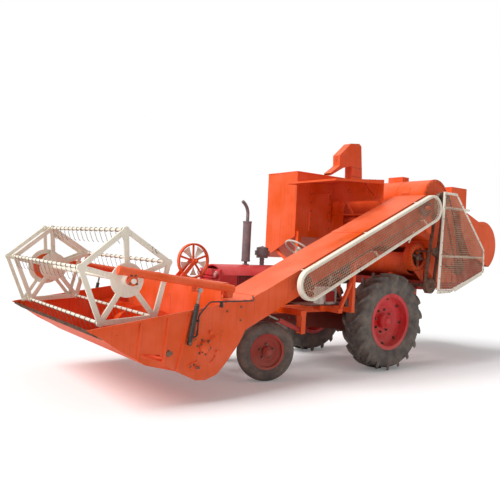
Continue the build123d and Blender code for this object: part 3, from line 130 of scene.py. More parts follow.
class HarvesterStage(bpy.types.PropertyGroup):
    key_strength: bpy.props.FloatProperty(
        name="Key light", description="Strength of the wide, soft light from the front and above", default=3.0
    )
    fill_power: bpy.props.FloatProperty(
        name="Fill light", description="Power of the lamp on the left", default=30, unit="POWER"
    )
    sky: bpy.props.FloatProperty(
        name="Sky", description="Strength of the even light from all round", default=0.37, min=0
    )
    floor_size: length("Floor", "Side of the floor", 90)


# Nodes


def add(tree, kind, inputs=None, **settings):
    """Adds a node, sets its properties, and fills its inputs with values or with links from outputs."""
    made = tree.nodes.new(kind)
    for name, value in settings.items():
        setattr(made, name, value)
    for key, value in (inputs or {}).items():
        if isinstance(value, bpy.types.NodeSocket):
            tree.links.new(value, made.inputs[key])
        else:
            made.inputs[key].default_value = value
    return made


def new_material(name):
    """An empty node material with its tree and output."""
    material = bpy.data.materials.new(name)
    material.use_nodes = True
    material.node_tree.nodes.clear()
    out = add(material.node_tree, "ShaderNodeOutputMaterial")
    return material, material.node_tree, out


# Finishes

STREAK_BROWN = "#7a3020"
OILY_RED = "#74281f"
PLATE_DIRT = "#5e2f22"
PLATE_STEEL = "#a3958a"
VINYL_BLACK = "#1c1a1a"
VINYL_WORN = "#45403c"
LAMP_CLEAR = "#d9dedb"


def enamel(name, paint, chip_cover=0.42, gloss=0.4, top_dust_and_highlight_cover=0.3, low_dirt=0.22):
    """Alkyd enamel sprayed or brushed on sheet steel: sun-faded in patches, with rain streaks, rust where
    it chipped, and dust near the ground; on what faces up the same pale colour is partly dust and partly a
    painted highlight."""
    fade_patch = 0.4  # sizes of the patterns in metres
    streak_width = 0.03
    streak_length = 0.6
    chip_size = 0.02
    scuffed_area = 0.3
    clean_above = 0.7  # mud and dust thicken from this height down to the next
    dirty_below = 0.1
    settings = bpy.context.scene.harvester_paint
    material, tree, out = new_material(name)
    place = add(tree, "ShaderNodeTexCoord").outputs["Object"]
    fade = add(
        tree,
        "ShaderNodeTexNoise",
        {"Vector": place, "Scale": 1 / fade_patch, "Detail": 4.0, "Roughness": 0.5},
    )
    faded = add(
        tree, "ShaderNodeMapRange", {"Value": fade.outputs["Fac"], "From Min": 0.3, "From Max": 0.75}
    )
    pale = add(
        tree, "ShaderNodeHueSaturation", {"Saturation": 0.93, "Value": 1.05, "Color": rgba(paint)}
    )
    deep = add(
        tree, "ShaderNodeHueSaturation", {"Saturation": 1.05, "Value": 0.86, "Color": rgba(paint)}
    )
    coat = add(
        tree, "ShaderNodeMix", {0: faded.outputs[0], 6: deep.outputs[0], 7: pale.outputs[0]}, data_type="RGBA"
    )
    # rain streaks, drawn out downwards
    down = add(
        tree,
        "ShaderNodeMapping",
        {"Vector": place, "Scale": (1 / streak_width, 1 / streak_width, 1 / streak_length)},
    )
    streak = add(tree, "ShaderNodeTexNoise", {"Vector": down.outputs[0], "Scale": 1.0, "Detail": 3.0})
    streaked = add(
        tree,
        "ShaderNodeMapRange",
        {"Value": streak.outputs["Fac"], "From Min": 0.55, "From Max": 0.85, "To Max": 0.3},
    )
    grime = add(
        tree,
        "ShaderNodeMix",
        {0: streaked.outputs[0], 6: coat.outputs[2], 7: rgba(linear(STREAK_BROWN))},
        data_type="RGBA",
    )
    # chips, gathered in scuffed areas
    chip = add(
        tree, "ShaderNodeTexNoise", {"Vector": place, "Scale": 1 / chip_size, "Detail": 6.0, "Roughness": 0.7}
    )
    area = add(tree, "ShaderNodeTexNoise", {"Vector": place, "Scale": 1 / scuffed_area, "Detail": 2.0})
    both = add(
        tree, "ShaderNodeMath", {0: chip.outputs["Fac"], 1: area.outputs["Fac"]}, operation="MULTIPLY"
    )
    chipped = add(
        tree,
        "ShaderNodeMapRange",
        {"Value": both.outputs[0], "From Min": chip_cover - 0.03, "From Max": chip_cover},
    )
    rusted = add(
        tree,
        "ShaderNodeMix",
        {0: chipped.outputs[0], 6: grime.outputs[2], 7: rgba(settings.rust)},
        data_type="RGBA",
    )
    # pale dust colour on upward faces, partly dust and partly a painted highlight, and real dust rising to
    # knee height
    facing = add(tree, "ShaderNodeSeparateXYZ", {0: add(tree, "ShaderNodeNewGeometry").outputs["Normal"]})
    upward = add(
        tree,
        "ShaderNodeMapRange",
        {"Value": facing.outputs["Z"], "From Min": 0.3, "From Max": 1.0, "To Max": top_dust_and_highlight_cover},
    )
    height = add(tree, "ShaderNodeSeparateXYZ", {0: place})
    low = add(
        tree,
        "ShaderNodeMapRange",
        {"Value": height.outputs["Z"], "From Min": clean_above, "From Max": dirty_below, "To Max": low_dirt},
    )
    dust_and_painted_highlight = add(tree, "ShaderNodeMath", {0: upward.outputs[0], 1: low.outputs[0]}, operation="MAXIMUM")
    patchy = add(
        tree, "ShaderNodeMath", {0: dust_and_painted_highlight.outputs[0], 1: fade.outputs["Fac"]}, operation="MULTIPLY"
    )
    # the dust colour over the coat: dust low down, and on upward faces partly dust and partly a painted
    # highlight
    dusty = add(
        tree,
        "ShaderNodeMix",
        {0: patchy.outputs[0], 6: rusted.outputs[2], 7: rgba(settings.dust)},
        data_type="RGBA",
    )
    rough = add(
        tree,
        "ShaderNodeMapRange",
        {
            "Value": fade.outputs["Fac"],
            "From Min": 0.3,
            "From Max": 0.7,
            "To Min": gloss,
            "To Max": gloss + 0.18,
        },
    )
    bump = add(tree, "ShaderNodeBump", {"Strength": 0.2, "Distance": 0.0015, "Height": both.outputs[0]})
    shader = add(
        tree,
        "ShaderNodeBsdfPrincipled",
        {
            "Base Color": dusty.outputs[2],
            "Roughness": rough.outputs[0],
            "Specular IOR Level": 0.2,
            "Normal": bump.outputs[0],
        },
    )
    tree.links.new(shader.outputs[0], out.inputs[0])
    return material


def plain_finish(name, first, second, patch, metallic=0.0, roughness=0.6, bump_height=0.0005):
    """A surface that varies between two colours in patches of a real size, with a fine bump."""
    material, tree, out = new_material(name)
    place = add(tree, "ShaderNodeTexCoord").outputs["Object"]
    cloud = add(
        tree, "ShaderNodeTexNoise", {"Vector": place, "Scale": 1 / patch, "Detail": 7.0, "Roughness": 0.65}
    )
    level = add(
        tree, "ShaderNodeMapRange", {"Value": cloud.outputs["Fac"], "From Min": 0.36, "From Max": 0.66}
    )
    mixed = add(
        tree,
        "ShaderNodeMix",
        {0: level.outputs[0], 6: rgba(linear(first)), 7: rgba(linear(second))},
        data_type="RGBA",
    )
    rough = add(
        tree,
        "ShaderNodeMapRange",
        {"Value": cloud.outputs["Fac"], "To Min": roughness - 0.12, "To Max": min(1.0, roughness + 0.12)},
    )
    bump = add(
        tree, "ShaderNodeBump", {"Strength": 0.5, "Distance": bump_height, "Height": cloud.outputs["Fac"]}
    )
    shader = add(
        tree,
        "ShaderNodeBsdfPrincipled",
        {
            "Base Color": mixed.outputs[2],
            "Metallic": metallic,
            "Roughness": rough.outputs[0],
            "Normal": bump.outputs[0],
        },
    )
    tree.links.new(shader.outputs[0], out.inputs[0])
    return material


def chequer_plate(name):
    """Rolled steel floor plate: small raised lozenges crossing each other, rubbed bright on top, with dirt
    between them."""
    lozenge_width = 0.03
    lozenge_length = 0.06
    worn_patch = 0.15
    material, tree, out = new_material(name)
    place = add(tree, "ShaderNodeTexCoord").outputs["Object"]
    heights = []
    for turn in (pi / 4, -pi / 4):
        grid = add(
            tree,
            "ShaderNodeMapping",
            {"Vector": place, "Rotation": (0, 0, turn), "Scale": (1 / lozenge_width, 1 / lozenge_length, 0)},
        )
        cell = add(tree, "ShaderNodeTexVoronoi", {"Vector": grid.outputs[0], "Scale": 1.0, "Randomness": 0.0})
        height = add(
            tree,
            "ShaderNodeMapRange",
            {"Value": cell.outputs["Distance"], "From Min": 0.34, "From Max": 0.22, "To Max": 1.0},
        )
        heights.append(height.outputs[0])
    raised = add(tree, "ShaderNodeMath", {0: heights[0], 1: heights[1]}, operation="MAXIMUM")
    worn = add(tree, "ShaderNodeTexNoise", {"Vector": place, "Scale": 1 / worn_patch, "Detail": 6.0})
    bright = add(
        tree, "ShaderNodeMath", {0: raised.outputs[0], 1: worn.outputs["Fac"]}, operation="MULTIPLY"
    )
    mixed = add(
        tree,
        "ShaderNodeMix",
        {0: bright.outputs[0], 6: rgba(linear(PLATE_DIRT)), 7: rgba(linear(PLATE_STEEL))},
        data_type="RGBA",
    )
    bump = add(tree, "ShaderNodeBump", {"Strength": 0.8, "Distance": 0.002, "Height": raised.outputs[0]})
    shader = add(
        tree,
        "ShaderNodeBsdfPrincipled",
        {
            "Base Color": mixed.outputs[2],
            "Metallic": bright.outputs[0],
            "Roughness": 0.55,
            "Normal": bump.outputs[0],
        },
    )
    tree.links.new(shader.outputs[0], out.inputs[0])
    return material


def grained_vinyl(name):
    """Calendered black vinyl with an embossed leather grain, grey where it wore."""
    grain_cell = 0.003
    worn_patch = 0.08
    material, tree, out = new_material(name)
    place = add(tree, "ShaderNodeTexCoord").outputs["Object"]
    grain = add(
        tree, "ShaderNodeTexVoronoi", {"Vector": place, "Scale": 1 / grain_cell}, feature="DISTANCE_TO_EDGE"
    )
    worn = add(tree, "ShaderNodeTexNoise", {"Vector": place, "Scale": 1 / worn_patch, "Detail": 5.0})
    mixed = add(
        tree,
        "ShaderNodeMix",
        {0: worn.outputs["Fac"], 6: rgba(linear(VINYL_BLACK)), 7: rgba(linear(VINYL_WORN))},
        data_type="RGBA",
    )
    bump = add(
        tree, "ShaderNodeBump", {"Strength": 0.4, "Distance": 0.0006, "Height": grain.outputs["Distance"]}
    )
    rough = add(tree, "ShaderNodeMapRange", {"Value": worn.outputs["Fac"], "To Min": 0.35, "To Max": 0.6})
    shader = add(
        tree,
        "ShaderNodeBsdfPrincipled",
        {"Base Color": mixed.outputs[2], "Roughness": rough.outputs[0], "Normal": bump.outputs[0]},
    )
    tree.links.new(shader.outputs[0], out.inputs[0])
    return material


def lamp_glass(name):
    """Pressed headlamp glass with upright flutes over the bright reflector behind it."""
    flute_width = 0.0081
    wave_at_scale_one = 0.315  # metres
    material, tree, out = new_material(name)
    place = add(tree, "ShaderNodeTexCoord").outputs["Object"]
    flute = add(
        tree,
        "ShaderNodeTexWave",
        {"Vector": place, "Scale": wave_at_scale_one / flute_width},
        bands_direction="Y",
    )
    bump = add(tree, "ShaderNodeBump", {"Strength": 0.6, "Distance": 0.001, "Height": flute.outputs["Fac"]})
    shader = add(
        tree,
        "ShaderNodeBsdfPrincipled",
        {
            "Base Color": rgba(linear(LAMP_CLEAR)),
            "Roughness": 0.12,
            "Metallic": 0.4,
            "Normal": bump.outputs[0],
        },
    )
    tree.links.new(shader.outputs[0], out.inputs[0])
    return material


FINISHES = {}


def make_finishes():
    """Every finish of the machine, by a short name."""
    paint = bpy.context.scene.harvester_paint
    FINISHES.update(
        # sprayed alkyd enamel on sheet: soft gloss, faded and chipped to rust
        orange=enamel("orange_enamel_sprayed", paint.orange),
        # enamel brushed over angle and tube: duller, greyed low down
        cream=enamel("cream_enamel_brushed", paint.cream, gloss=0.5, top_dust_and_highlight_cover=0.15, low_dirt=0.3),
        # older, glossier factory enamel that went pink in the sun
        crimson=enamel("crimson_enamel_faded", paint.crimson, gloss=0.3, top_dust_and_highlight_cover=0.2, low_dirt=0.5),
        # iron oxide primer left bare: flat and full of dust
        primer=enamel("red_primer_dusty", paint.primer, gloss=0.6, top_dust_and_highlight_cover=0.4, low_dirt=0.6),
        # moulded carbon-black rubber, brown-grey with dust in its grain
        rubber=plain_finish(
            "tyre_rubber_used", "#55504d", "#84776d", 0.16, roughness=0.85, bump_height=0.001
        ),
        # mild steel under brown rust
        rusty=plain_finish("steel_rust_brown", "#5b4138", "#8d6f5c", 0.05, metallic=0.5, roughness=0.6),
        # drawn wire whose thin coat of rust reads pale against the dark behind it
        wire=plain_finish("wire_rust_tan", "#a87860", "#cba58c", 0.2, metallic=0.2, roughness=0.6),
        # spring steel wire, greyed by straw
        tine=plain_finish("tine_wire_greyed", "#a99d90", "#7d6a5c", 0.04, metallic=0.4, roughness=0.5),
        # ground steel kept bright by use
        steel=plain_finish("steel_worn_bright", "#a09d98", "#7c736a", 0.06, metallic=0.9, roughness=0.35),
        # sheet steel dulled mauve-grey by heat
        soot=plain_finish("steel_heat_dulled", "#8a7273", "#6d5f61", 0.15, metallic=0.3, roughness=0.6),
        # moulded black rubber with a low sheen
        black=plain_finish("black_rubber_satin", "#1d1b1b", "#3a3430", 0.08, roughness=0.5),
        # rubbered canvas belt, matt and dusty
        belt=plain_finish("belt_canvas_rubber", "#2b2422", "#54423a", 0.03, roughness=0.85),
        # drawn copper pipe gone brown
        copper=plain_finish("pipe_copper_dull", "#a06a4c", "#7c4c3a", 0.03, metallic=0.8, roughness=0.45),
        vinyl=grained_vinyl("seat_vinyl_grained"),
        # moulded hard plastic, yellowed and handled smooth
        ivory=plain_finish("rim_plastic_ivory", "#ded8cc", "#bfb5a4", 0.06, roughness=0.4),
        # brushed grey enamel on a folded box
        grey=plain_finish("grey_enamel_box", "#c2c0ba", "#9c9486", 0.1, roughness=0.5),
        chequer=chequer_plate("floor_chequer_steel"),
        glass=lamp_glass("lamp_glass_fluted"),
        # painted castings dark with oil and caked dust
        casting=enamel("casting_oily_red", linear(OILY_RED), gloss=0.45, top_dust_and_highlight_cover=0.5, low_dirt=0.5),
    )


# finish: the CAD nodes that wear it
WORN_BY = {
    "orange": (
        "header_trough",
        "header_back",
        "header_side_left",
        "header_side_right",
        "header_beam",
        "header_auger",
        "feeder_trough",
        "feeder_cover",
        "reel_arms",
        "reel_drive_wheel",
        "mounting_frame",
        "thresher_body",
        "drum_housing",
        "fan_housing",
        "straw_hood",
        "grain_elevator",
        "grain_tank",
        "canopy",
    ),
    "cream": (
        "reel_frame",
        "eccentric_spider",
        "feeder_guard",
        "rear_guard",
        "tine_bar_1",
        "tine_bar_2",
        "tine_bar_3",
        "tine_bar_4",
        "tine_bar_5",
    ),
    "crimson": ("hood", "radiator_grille", "headlamps", "rear_wheel_left", "rear_wheel_right"),
    "primer": ("front_wheel_left", "front_wheel_right", "lift_barrel"),
    "casting": ("tractor_body", "engine_block", "front_axle", "knuckle_left", "knuckle_right", "tie_rod"),
    "rubber": ("rear_tyre_left", "rear_tyre_right", "front_tyre_left", "front_tyre_right"),
    "rusty": ("cutter_bar", "fan_rotor", "feeder_drive", "main_drive"),
    "chequer": ("driver_platform",),
    "steel": ("reel_ram_rods", "lift_rod"),
    "soot": ("exhaust_stack", "air_precleaner"),
    "black": ("reel_ram_barrels", "reel_hose"),
    "ivory": ("steering_wheel",),
    "vinyl": ("driver_seat",),
    "grey": ("battery_box",),
}


class HARVESTER_OT_paint(bpy.types.Operator):
    """Makes the finishes and puts one on each CAD node"""

    bl_idname = "harvester.paint"
    bl_label = "Paint the frame"

    def execute(self, context):
        make_finishes()
        worn = set()
        for finish, names in WORN_BY.items():
            for name in names:
                slots = frame["nodes"][name].data.materials
                slots.clear()
                slots.append(FINISHES[finish])
                worn.add(name)
        bare = set(frame["nodes"]) - worn
        if bare:
            raise RuntimeError(f"these nodes have no finish: {sorted(bare)}")
        return {"FINISHED"}


# Mesh helpers


def turn_angles(count, start=0.0):
    return [start + 2 * pi * n / count for n in range(count)]


def skin(bm, rings, loop=False):
    """Faces between rings of corners, with a cap on each end unless the rings close on themselves."""
    pairs = list(zip(rings, rings[1:]))
    if loop:
        pairs.append((rings[-1], rings[0]))
    for first, second in pairs:
        for n in range(len(first)):
            m = (n + 1) % len(first)
            bm.faces.new((first[n], first[m], second[m], second[n]))
    if not loop:
        bm.faces.new(rings[0][::-1])
        bm.faces.new(rings[-1])


def tube(bm, points, radius, sides=10, loop=False):
    """A round bar of a radius in millimetres along a path of points."""
    rings = []
    side = None
    last = len(points) - 1
    for n, point in enumerate(points):
        before = points[n - 1] if n or loop else point
        after = points[(n + 1) % len(points)] if n < last or loop else point
        way = (after - before).normalized()
        side = way.orthogonal() if side is None else side
        side = (side - way * side.dot(way)).normalized()
        up = way.cross(side)
        angles = turn_angles(sides)
        rings.append([bm.verts.new(point + radius * MM * (side * cos(a) + up * sin(a))) for a in angles])
    skin(bm, rings, loop)


def turned(bm, centre, axis, profile, steps=32, loop=False):
    """A form turned about an axis: the profile lists (along, radius) in millimetres."""
    way = Vector(axis).normalized()
    side = way.orthogonal().normalized()
    up = way.cross(side)
    rings = []
    for along, radius in profile:
        angles = turn_angles(steps, pi / steps)
        middle_of_ring = centre + way * along * MM
        corners = [middle_of_ring + radius * MM * (side * cos(a) + up * sin(a)) for a in angles]
        rings.append([bm.verts.new(corner) for corner in corners])
    skin(bm, rings, loop)


def bevelled(bm, start, width):
    """Bevels the hard edges of the faces made since the count start."""
    bm.normal_update()
    bm.faces.ensure_lookup_table()
    edges = {e for f in bm.faces[start:] for e in f.edges}
    hard = [e for e in edges if len(e.link_faces) == 2 and e.calc_face_angle(0) > radians(40)]
    bmesh.ops.bevel(bm, geom=hard, offset=width * MM, segments=2, profile=0.6, affect="EDGES")


def strap(bm, place, axis, radius, width, steps):
    """A band 3 mm thick round a tube."""
    top = radius + 3
    turned(bm, place, axis, [(0, radius), (0.5, top), (width, top), (width + 0.5, radius)], steps)


def prism(bm, corners, y, bevel=2.0):
    """A plate drawn in side view, (x, z), as thick as the span y."""
    start = len(bm.faces)
    rings = [[bm.verts.new(at(x, side, z)) for x, z in corners] for side in y]
    skin(bm, rings)
    bmesh.ops.recalc_face_normals(bm, faces=bm.faces[start:])
    if bevel:
        bevelled(bm, start, bevel)


def box(bm, x, y, z, bevel=3.0):
    prism(bm, ((x[0], z[0]), (x[1], z[0]), (x[1], z[1]), (x[0], z[1])), y, bevel)


def flat_bar(bm, start, end, width, depth, side=ACROSS, bevel=1.5):
    """A flat bar between two points; depth is measured along side."""
    count = len(bm.faces)
    way = (end - start).normalized()
    out = Vector(side).normalized()
    broad = way.cross(out).normalized()
    rings = []
    for point in (start, end):
        ring = []
        for a, b in ((-1, -1), (1, -1), (1, 1), (-1, 1)):
            ring.append(bm.verts.new(point + broad * a * width / 2 * MM + out * b * depth / 2 * MM))
        rings.append(ring)
    skin(bm, rings)
    bmesh.ops.recalc_face_normals(bm, faces=bm.faces[count:])
    bevelled(bm, count, bevel)


def swept(bm, rims, section):
    """A closed band: rims gives, for a depth inwards, the side-view points round the band, and section
    lists (depth, y)."""
    loops = [rims(depth) for depth, _ in section]
    rings = []
    for n in range(len(loops[0])):
        rings.append([bm.verts.new(at(loop[n][0], y, loop[n][1])) for loop, (_, y) in zip(loops, section)])
    skin(bm, rings, loop=True)


def finished(name, mesh, finish, body, hard=35):
    """Makes a mesh into a piece that rides on a body, with edges over the angle kept hard."""
    obj = bpy.data.objects.new(name, mesh)
    bpy.context.scene.collection.objects.link(obj)
    if finish:
        mesh.materials.clear()
        mesh.materials.append(FINISHES[finish])
    mesh.shade_smooth()
    mesh.set_sharp_from_angle(angle=radians(hard))
    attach(obj, body)
    return obj


def mesh_of(name, bm):
    """The mesh of a finished draft, with its faces turned outwards."""
    bmesh.ops.recalc_face_normals(bm, faces=bm.faces)
    mesh = bpy.data.meshes.new(name)
    bm.to_mesh(mesh)
    bm.free()
    return mesh


def piece(name, bm, finish, body, hard=35):
    return finished(name, mesh_of(name, bm), finish, body, hard)


# Geometry Nodes


def node_tree(name, inputs):
    """A geometry node tree with the usual geometry sockets and the named inputs."""
    tree = bpy.data.node_groups.new(name, "GeometryNodeTree")
    tree.interface.new_socket("Geometry", in_out="INPUT", socket_type="NodeSocketGeometry")
    for label, kind in inputs:
        tree.interface.new_socket(label, in_out="INPUT", socket_type="NodeSocket" + kind)
    tree.interface.new_socket("Geometry", in_out="OUTPUT", socket_type="NodeSocketGeometry")
    return tree, add(tree, "NodeGroupInput").outputs


def end_tree(tree, shape, material):
    """Realizes the instances, gives them the material and ends the tree."""
    real = add(tree, "GeometryNodeRealizeInstances", {"Geometry": shape})
    dressed = add(tree, "GeometryNodeSetMaterial", {"Geometry": real.outputs[0], "Material": material})
    add(tree, "NodeGroupOutput", {0: dressed.outputs[0]})
    return tree


def ring_tree():
    """Copies of the mesh turned about the Y axis, then turned about Z and moved to a centre."""
    tree, given = node_tree(
        "ring", (("Count", "Int"), ("Centre", "Vector"), ("Swing", "Float"), ("Material", "Material"))
    )
    spots = add(tree, "GeometryNodeMeshLine", {"Count": given["Count"], "Offset": (0, 0, 0)})
    share = add(tree, "ShaderNodeMath", {0: 2 * pi, 1: given["Count"]}, operation="DIVIDE")
    index = add(tree, "GeometryNodeInputIndex")
    angle = add(tree, "ShaderNodeMath", {0: index.outputs[0], 1: share.outputs[0]}, operation="MULTIPLY")
    euler = add(tree, "ShaderNodeCombineXYZ", {"Y": angle.outputs[0]})
    turn = add(tree, "FunctionNodeEulerToRotation", {0: euler.outputs[0]})
    copies = add(
        tree,
        "GeometryNodeInstanceOnPoints",
        {"Points": spots.outputs[0], "Instance": given["Geometry"], "Rotation": turn.outputs[0]},
    )
    swing = add(tree, "ShaderNodeCombineXYZ", {"Z": given["Swing"]})
    moved = add(
        tree,
        "GeometryNodeTransform",
        {"Geometry": copies.outputs[0], "Translation": given["Centre"], "Rotation": swing.outputs[0]},
    )
    return end_tree(tree, moved.outputs[0], given["Material"])


def row_tree():
    """Copies of the mesh a step apart."""
    tree, given = node_tree("row", (("Count", "Int"), ("Step", "Vector"), ("Material", "Material")))
    spots = add(tree, "GeometryNodeMeshLine", {"Count": given["Count"], "Offset": given["Step"]})
    copies = add(
        tree, "GeometryNodeInstanceOnPoints", {"Points": spots.outputs[0], "Instance": given["Geometry"]}
    )
    return end_tree(tree, copies.outputs[0], given["Material"])


def wire_tree():
    """Round wire along the edges of the mesh, repeated a step apart."""
    tree, given = node_tree(
        "wire",
        (
            ("Count", "Int"),
            ("Step", "Vector"),
            ("Radius", "Float"),
            ("Sides", "Int"),
            ("Material", "Material"),
        ),
    )
    spots = add(tree, "GeometryNodeMeshLine", {"Count": given["Count"], "Offset": given["Step"]})
    copies = add(
        tree, "GeometryNodeInstanceOnPoints", {"Points": spots.outputs[0], "Instance": given["Geometry"]}
    )
    real = add(tree, "GeometryNodeRealizeInstances", {"Geometry": copies.outputs[0]})
    path = add(tree, "GeometryNodeMeshToCurve", {"Mesh": real.outputs[0]})
    round_section = add(
        tree, "GeometryNodeCurvePrimitiveCircle", {"Resolution": given["Sides"], "Radius": given["Radius"]}
    )
    wire = add(
        tree,
        "GeometryNodeCurveToMesh",
        {"Curve": path.outputs[0], "Profile Curve": round_section.outputs[0], "Fill Caps": True},
    )
    return end_tree(tree, wire.outputs[0], given["Material"])


def bolt_tree():
    """A head with a washer on each point of the mesh, facing the way that the point says."""
    tree, given = node_tree(
        "bolt",
        (
            ("Across", "Float"),
            ("Height", "Float"),
            ("Corners", "Int"),
            ("Taper", "Float"),
            ("Washer", "Float"),
            ("Material", "Material"),
        ),
    )
    bottom = add(tree, "ShaderNodeMath", {0: given["Across"], 1: 0.5}, operation="MULTIPLY")
    top = add(tree, "ShaderNodeMath", {0: bottom.outputs[0], 1: given["Taper"]}, operation="MULTIPLY")
    head = add(
        tree,
        "GeometryNodeMeshCone",
        {
            "Vertices": given["Corners"],
            "Radius Top": top.outputs[0],
            "Radius Bottom": bottom.outputs[0],
            "Depth": given["Height"],
        },
    )
    brim = add(tree, "ShaderNodeMath", {0: bottom.outputs[0], 1: given["Washer"]}, operation="MULTIPLY")
    washer = add(
        tree,
        "GeometryNodeMeshCone",
        {"Vertices": 16, "Radius Top": brim.outputs[0], "Radius Bottom": brim.outputs[0], "Depth": 0.0025},
    )
    both = add(tree, "GeometryNodeJoinGeometry")
    tree.links.new(head.outputs[0], both.inputs[0])
    tree.links.new(washer.outputs[0], both.inputs[0])
    facing = add(tree, "GeometryNodeInputNamedAttribute", {"Name": "facing"}, data_type="FLOAT_VECTOR")
    turn = add(tree, "FunctionNodeAlignRotationToVector", {"Vector": facing.outputs[0]}, axis="Z")
    heads = add(
        tree,
        "GeometryNodeInstanceOnPoints",
        {"Points": given["Geometry"], "Instance": both.outputs[0], "Rotation": turn.outputs[0]},
    )
    return end_tree(tree, heads.outputs[0], given["Material"])


def grown(name, mesh, tree, values, finish, body, hard=35):
    """The mesh that a node tree makes from another, as a piece that rides on a body."""
    seed = bpy.data.objects.new(name + "_seed", mesh)
    bpy.context.scene.collection.objects.link(seed)
    modifier = seed.modifiers.new("nodes", "NODES")
    modifier.node_group = tree
    sockets = {s.name: s.identifier for s in tree.interface.items_tree if s.in_out == "INPUT"}
    for label, value in values.items():
        modifier[sockets[label]] = value
    modifier[sockets["Material"]] = FINISHES[finish]
    graph = bpy.context.evaluated_depsgraph_get()
    made = bpy.data.meshes.new_from_object(seed.evaluated_get(graph), depsgraph=graph)
    seed.modifiers.clear()
    bpy.data.objects.remove(seed)
    if not made.polygons:
        raise RuntimeError(f"the nodes of {name} made nothing")
    made.name = name
    return finished(name, made, None, body, hard)


TREES = {}


def make_trees():
    TREES.update(ring=ring_tree(), row=row_tree(), wire=wire_tree(), bolt=bolt_tree())


def bolts(name, body, spots, across=20.0, height=9.0, corners=6, taper=0.94, washer=1.35, finish="rusty"):
    """Bolt or rivet heads at spots, each a point and the way that the head faces."""
    mesh = bpy.data.meshes.new(name)
    mesh.from_pydata([tuple(point) for point, _ in spots], [], [])
    facing = mesh.attributes.new("facing", "FLOAT_VECTOR", "POINT")
    for n, (_, way) in enumerate(spots):
        facing.data[n].vector = way
    values = {
        "Across": across * MM,
        "Height": height * MM,
        "Corners": corners,
        "Taper": taper,
        "Washer": washer,
    }
    return grown(name, mesh, TREES["bolt"], values, finish, body, hard=40)


def rivets(name, body, spots, finish="orange", across=11.0):
    return bolts(name, body, spots, across, 4.0, 10, 0.55, 0.9, finish)


def along_edge(start, end, pitch, facing, margin=0.03):
    """Spots evenly spaced along an edge."""
    run = (end - start).length - 2 * margin
    count = max(2, round(run / pitch) + 1)
    way = (end - start).normalized()
    return [(start + way * (margin + run * n / (count - 1)), Vector(facing)) for n in range(count)]


def around(x, z, y, radius, count, side=1, start=0.0):
    """Spots round a circle in side view that face left (side 1) or right (side -1)."""
    spots = []
    for a in turn_angles(count, start):
        spots.append((at(x + radius * cos(a), y, z + radius * sin(a)), Vector((0, side, 0))))
    return spots


def wires(name, body, lines, radius, finish, count=1, step=(0, 0, 0), sides=6):
    """Round wire along lines of points."""
    mesh = bpy.data.meshes.new(name)
    points, edges = [], []
    for line in lines:
        first = len(points)
        points += [tuple(p) for p in line]
        edges += [(n, n + 1) for n in range(first, len(points) - 1)]
    mesh.from_pydata(points, edges, [])
    values = {"Count": count, "Step": step, "Radius": radius, "Sides": sides}
    return grown(name, mesh, TREES["wire"], values, finish, body, hard=80)


class HARVESTER_OT_trees(bpy.types.Operator):
    """Makes the node trees that repeat lugs, wires, blades and bolts"""

    bl_idname = "harvester.trees"
    bl_label = "Make the node trees"

    def execute(self, context):
        make_trees()
        return {"FINISHED"}


# Tyres and wheels

SIDES = (("left", "l", 1), ("right", "r", -1))


def mirrored(profile):
    """A closed section from its half: (across, radius) from the middle outwards."""
    return [(-y, r) for y, r in reversed(profile)] + list(profile)


def tyre_section(outside, inside):
    """The closed wall of a tyre from half of its outer and inner outline."""
    return mirrored(outside) + mirrored(inside)[::-1]


# half sections of the tyres, (across, radius)
REAR_CROWN = [(0, 650), (60, 648), (99, 644), (135, 632), (160, 612), (172, 585), (179, 545), (180, 516)]
REAR_WALL = [(176, 478), (163, 440), (146, 412), (137, 400), (130, 392), (128, 357)]
REAR_INSIDE = [(0, 626), (120, 618), (150, 590), (162, 530), (150, 450), (118, 400), (116, 357)]
FRONT_RIBS = [(0, 368), (14, 368), (16, 357), (23, 357), (25, 367), (41, 365), (43, 355)]
FRONT_RIBS += [(50, 354), (52, 363)]
FRONT_WALL = [(64, 357), (75, 342), (81, 318), (82, 293), (79, 265), (71, 240), (66, 228), (62, 204)]
FRONT_INSIDE = [(0, 345), (60, 338), (70, 300), (60, 240), (52, 205)]

LUGS = 18  # round each half of the tread
LUG_TOP = 683.0
LUG_FOOT = 640.0
LUG_LEAD = 0.27  # radians by which a lug's outer end leads
LUG_STATIONS = 8


def rear_lugs():
    """One lug for each half of the tread, curved, with its outer end leading."""
    bm = bmesh.new()
    for side in (1, -1):
        start = 0 if side > 0 else pi / LUGS
        rings = []
        for n in range(LUG_STATIONS + 1):
            t = n / LUG_STATIONS
            across_tread = side * (8 + 164 * t)
            bend = start + LUG_LEAD * t**1.25
            top = LUG_TOP - 2 * t - 22 * max(0, t - 0.8) / 0.2
            foot = LUG_FOOT - 60 * max(0, t - 0.7) / 0.3
            half_top = (17 + 5 * t) / LUG_TOP
            half_foot = (25 + 7 * t) / REAR_CROWN[0][1]
            corners = (
                (foot, -half_foot),
                (top - 3, -half_top * 1.1),
                (top, -half_top * 0.9),
                (top, half_top * 0.9),
                (top - 3, half_top * 1.1),
                (foot, half_foot),
            )
            ring = []
            for radius, shift in corners:
                angle = bend + shift
                corner = (radius * MM * cos(angle), across_tread * MM, radius * MM * sin(angle))
                ring.append(bm.verts.new(corner))
            rings.append(ring)
        skin(bm, rings)
    return mesh_of("rear_lug", bm)


def front_swing(letter):
    """How far a front wheel is turned from straight ahead, from its axle in the record."""
    for joint in frame["record"]["behaviour"]["joints"]:
        if joint["child"] == "front_wheel_" + letter:
            return atan2(-joint["axis"][0], joint["axis"][1])
    raise RuntimeError("the record has no joint for front_wheel_" + letter)


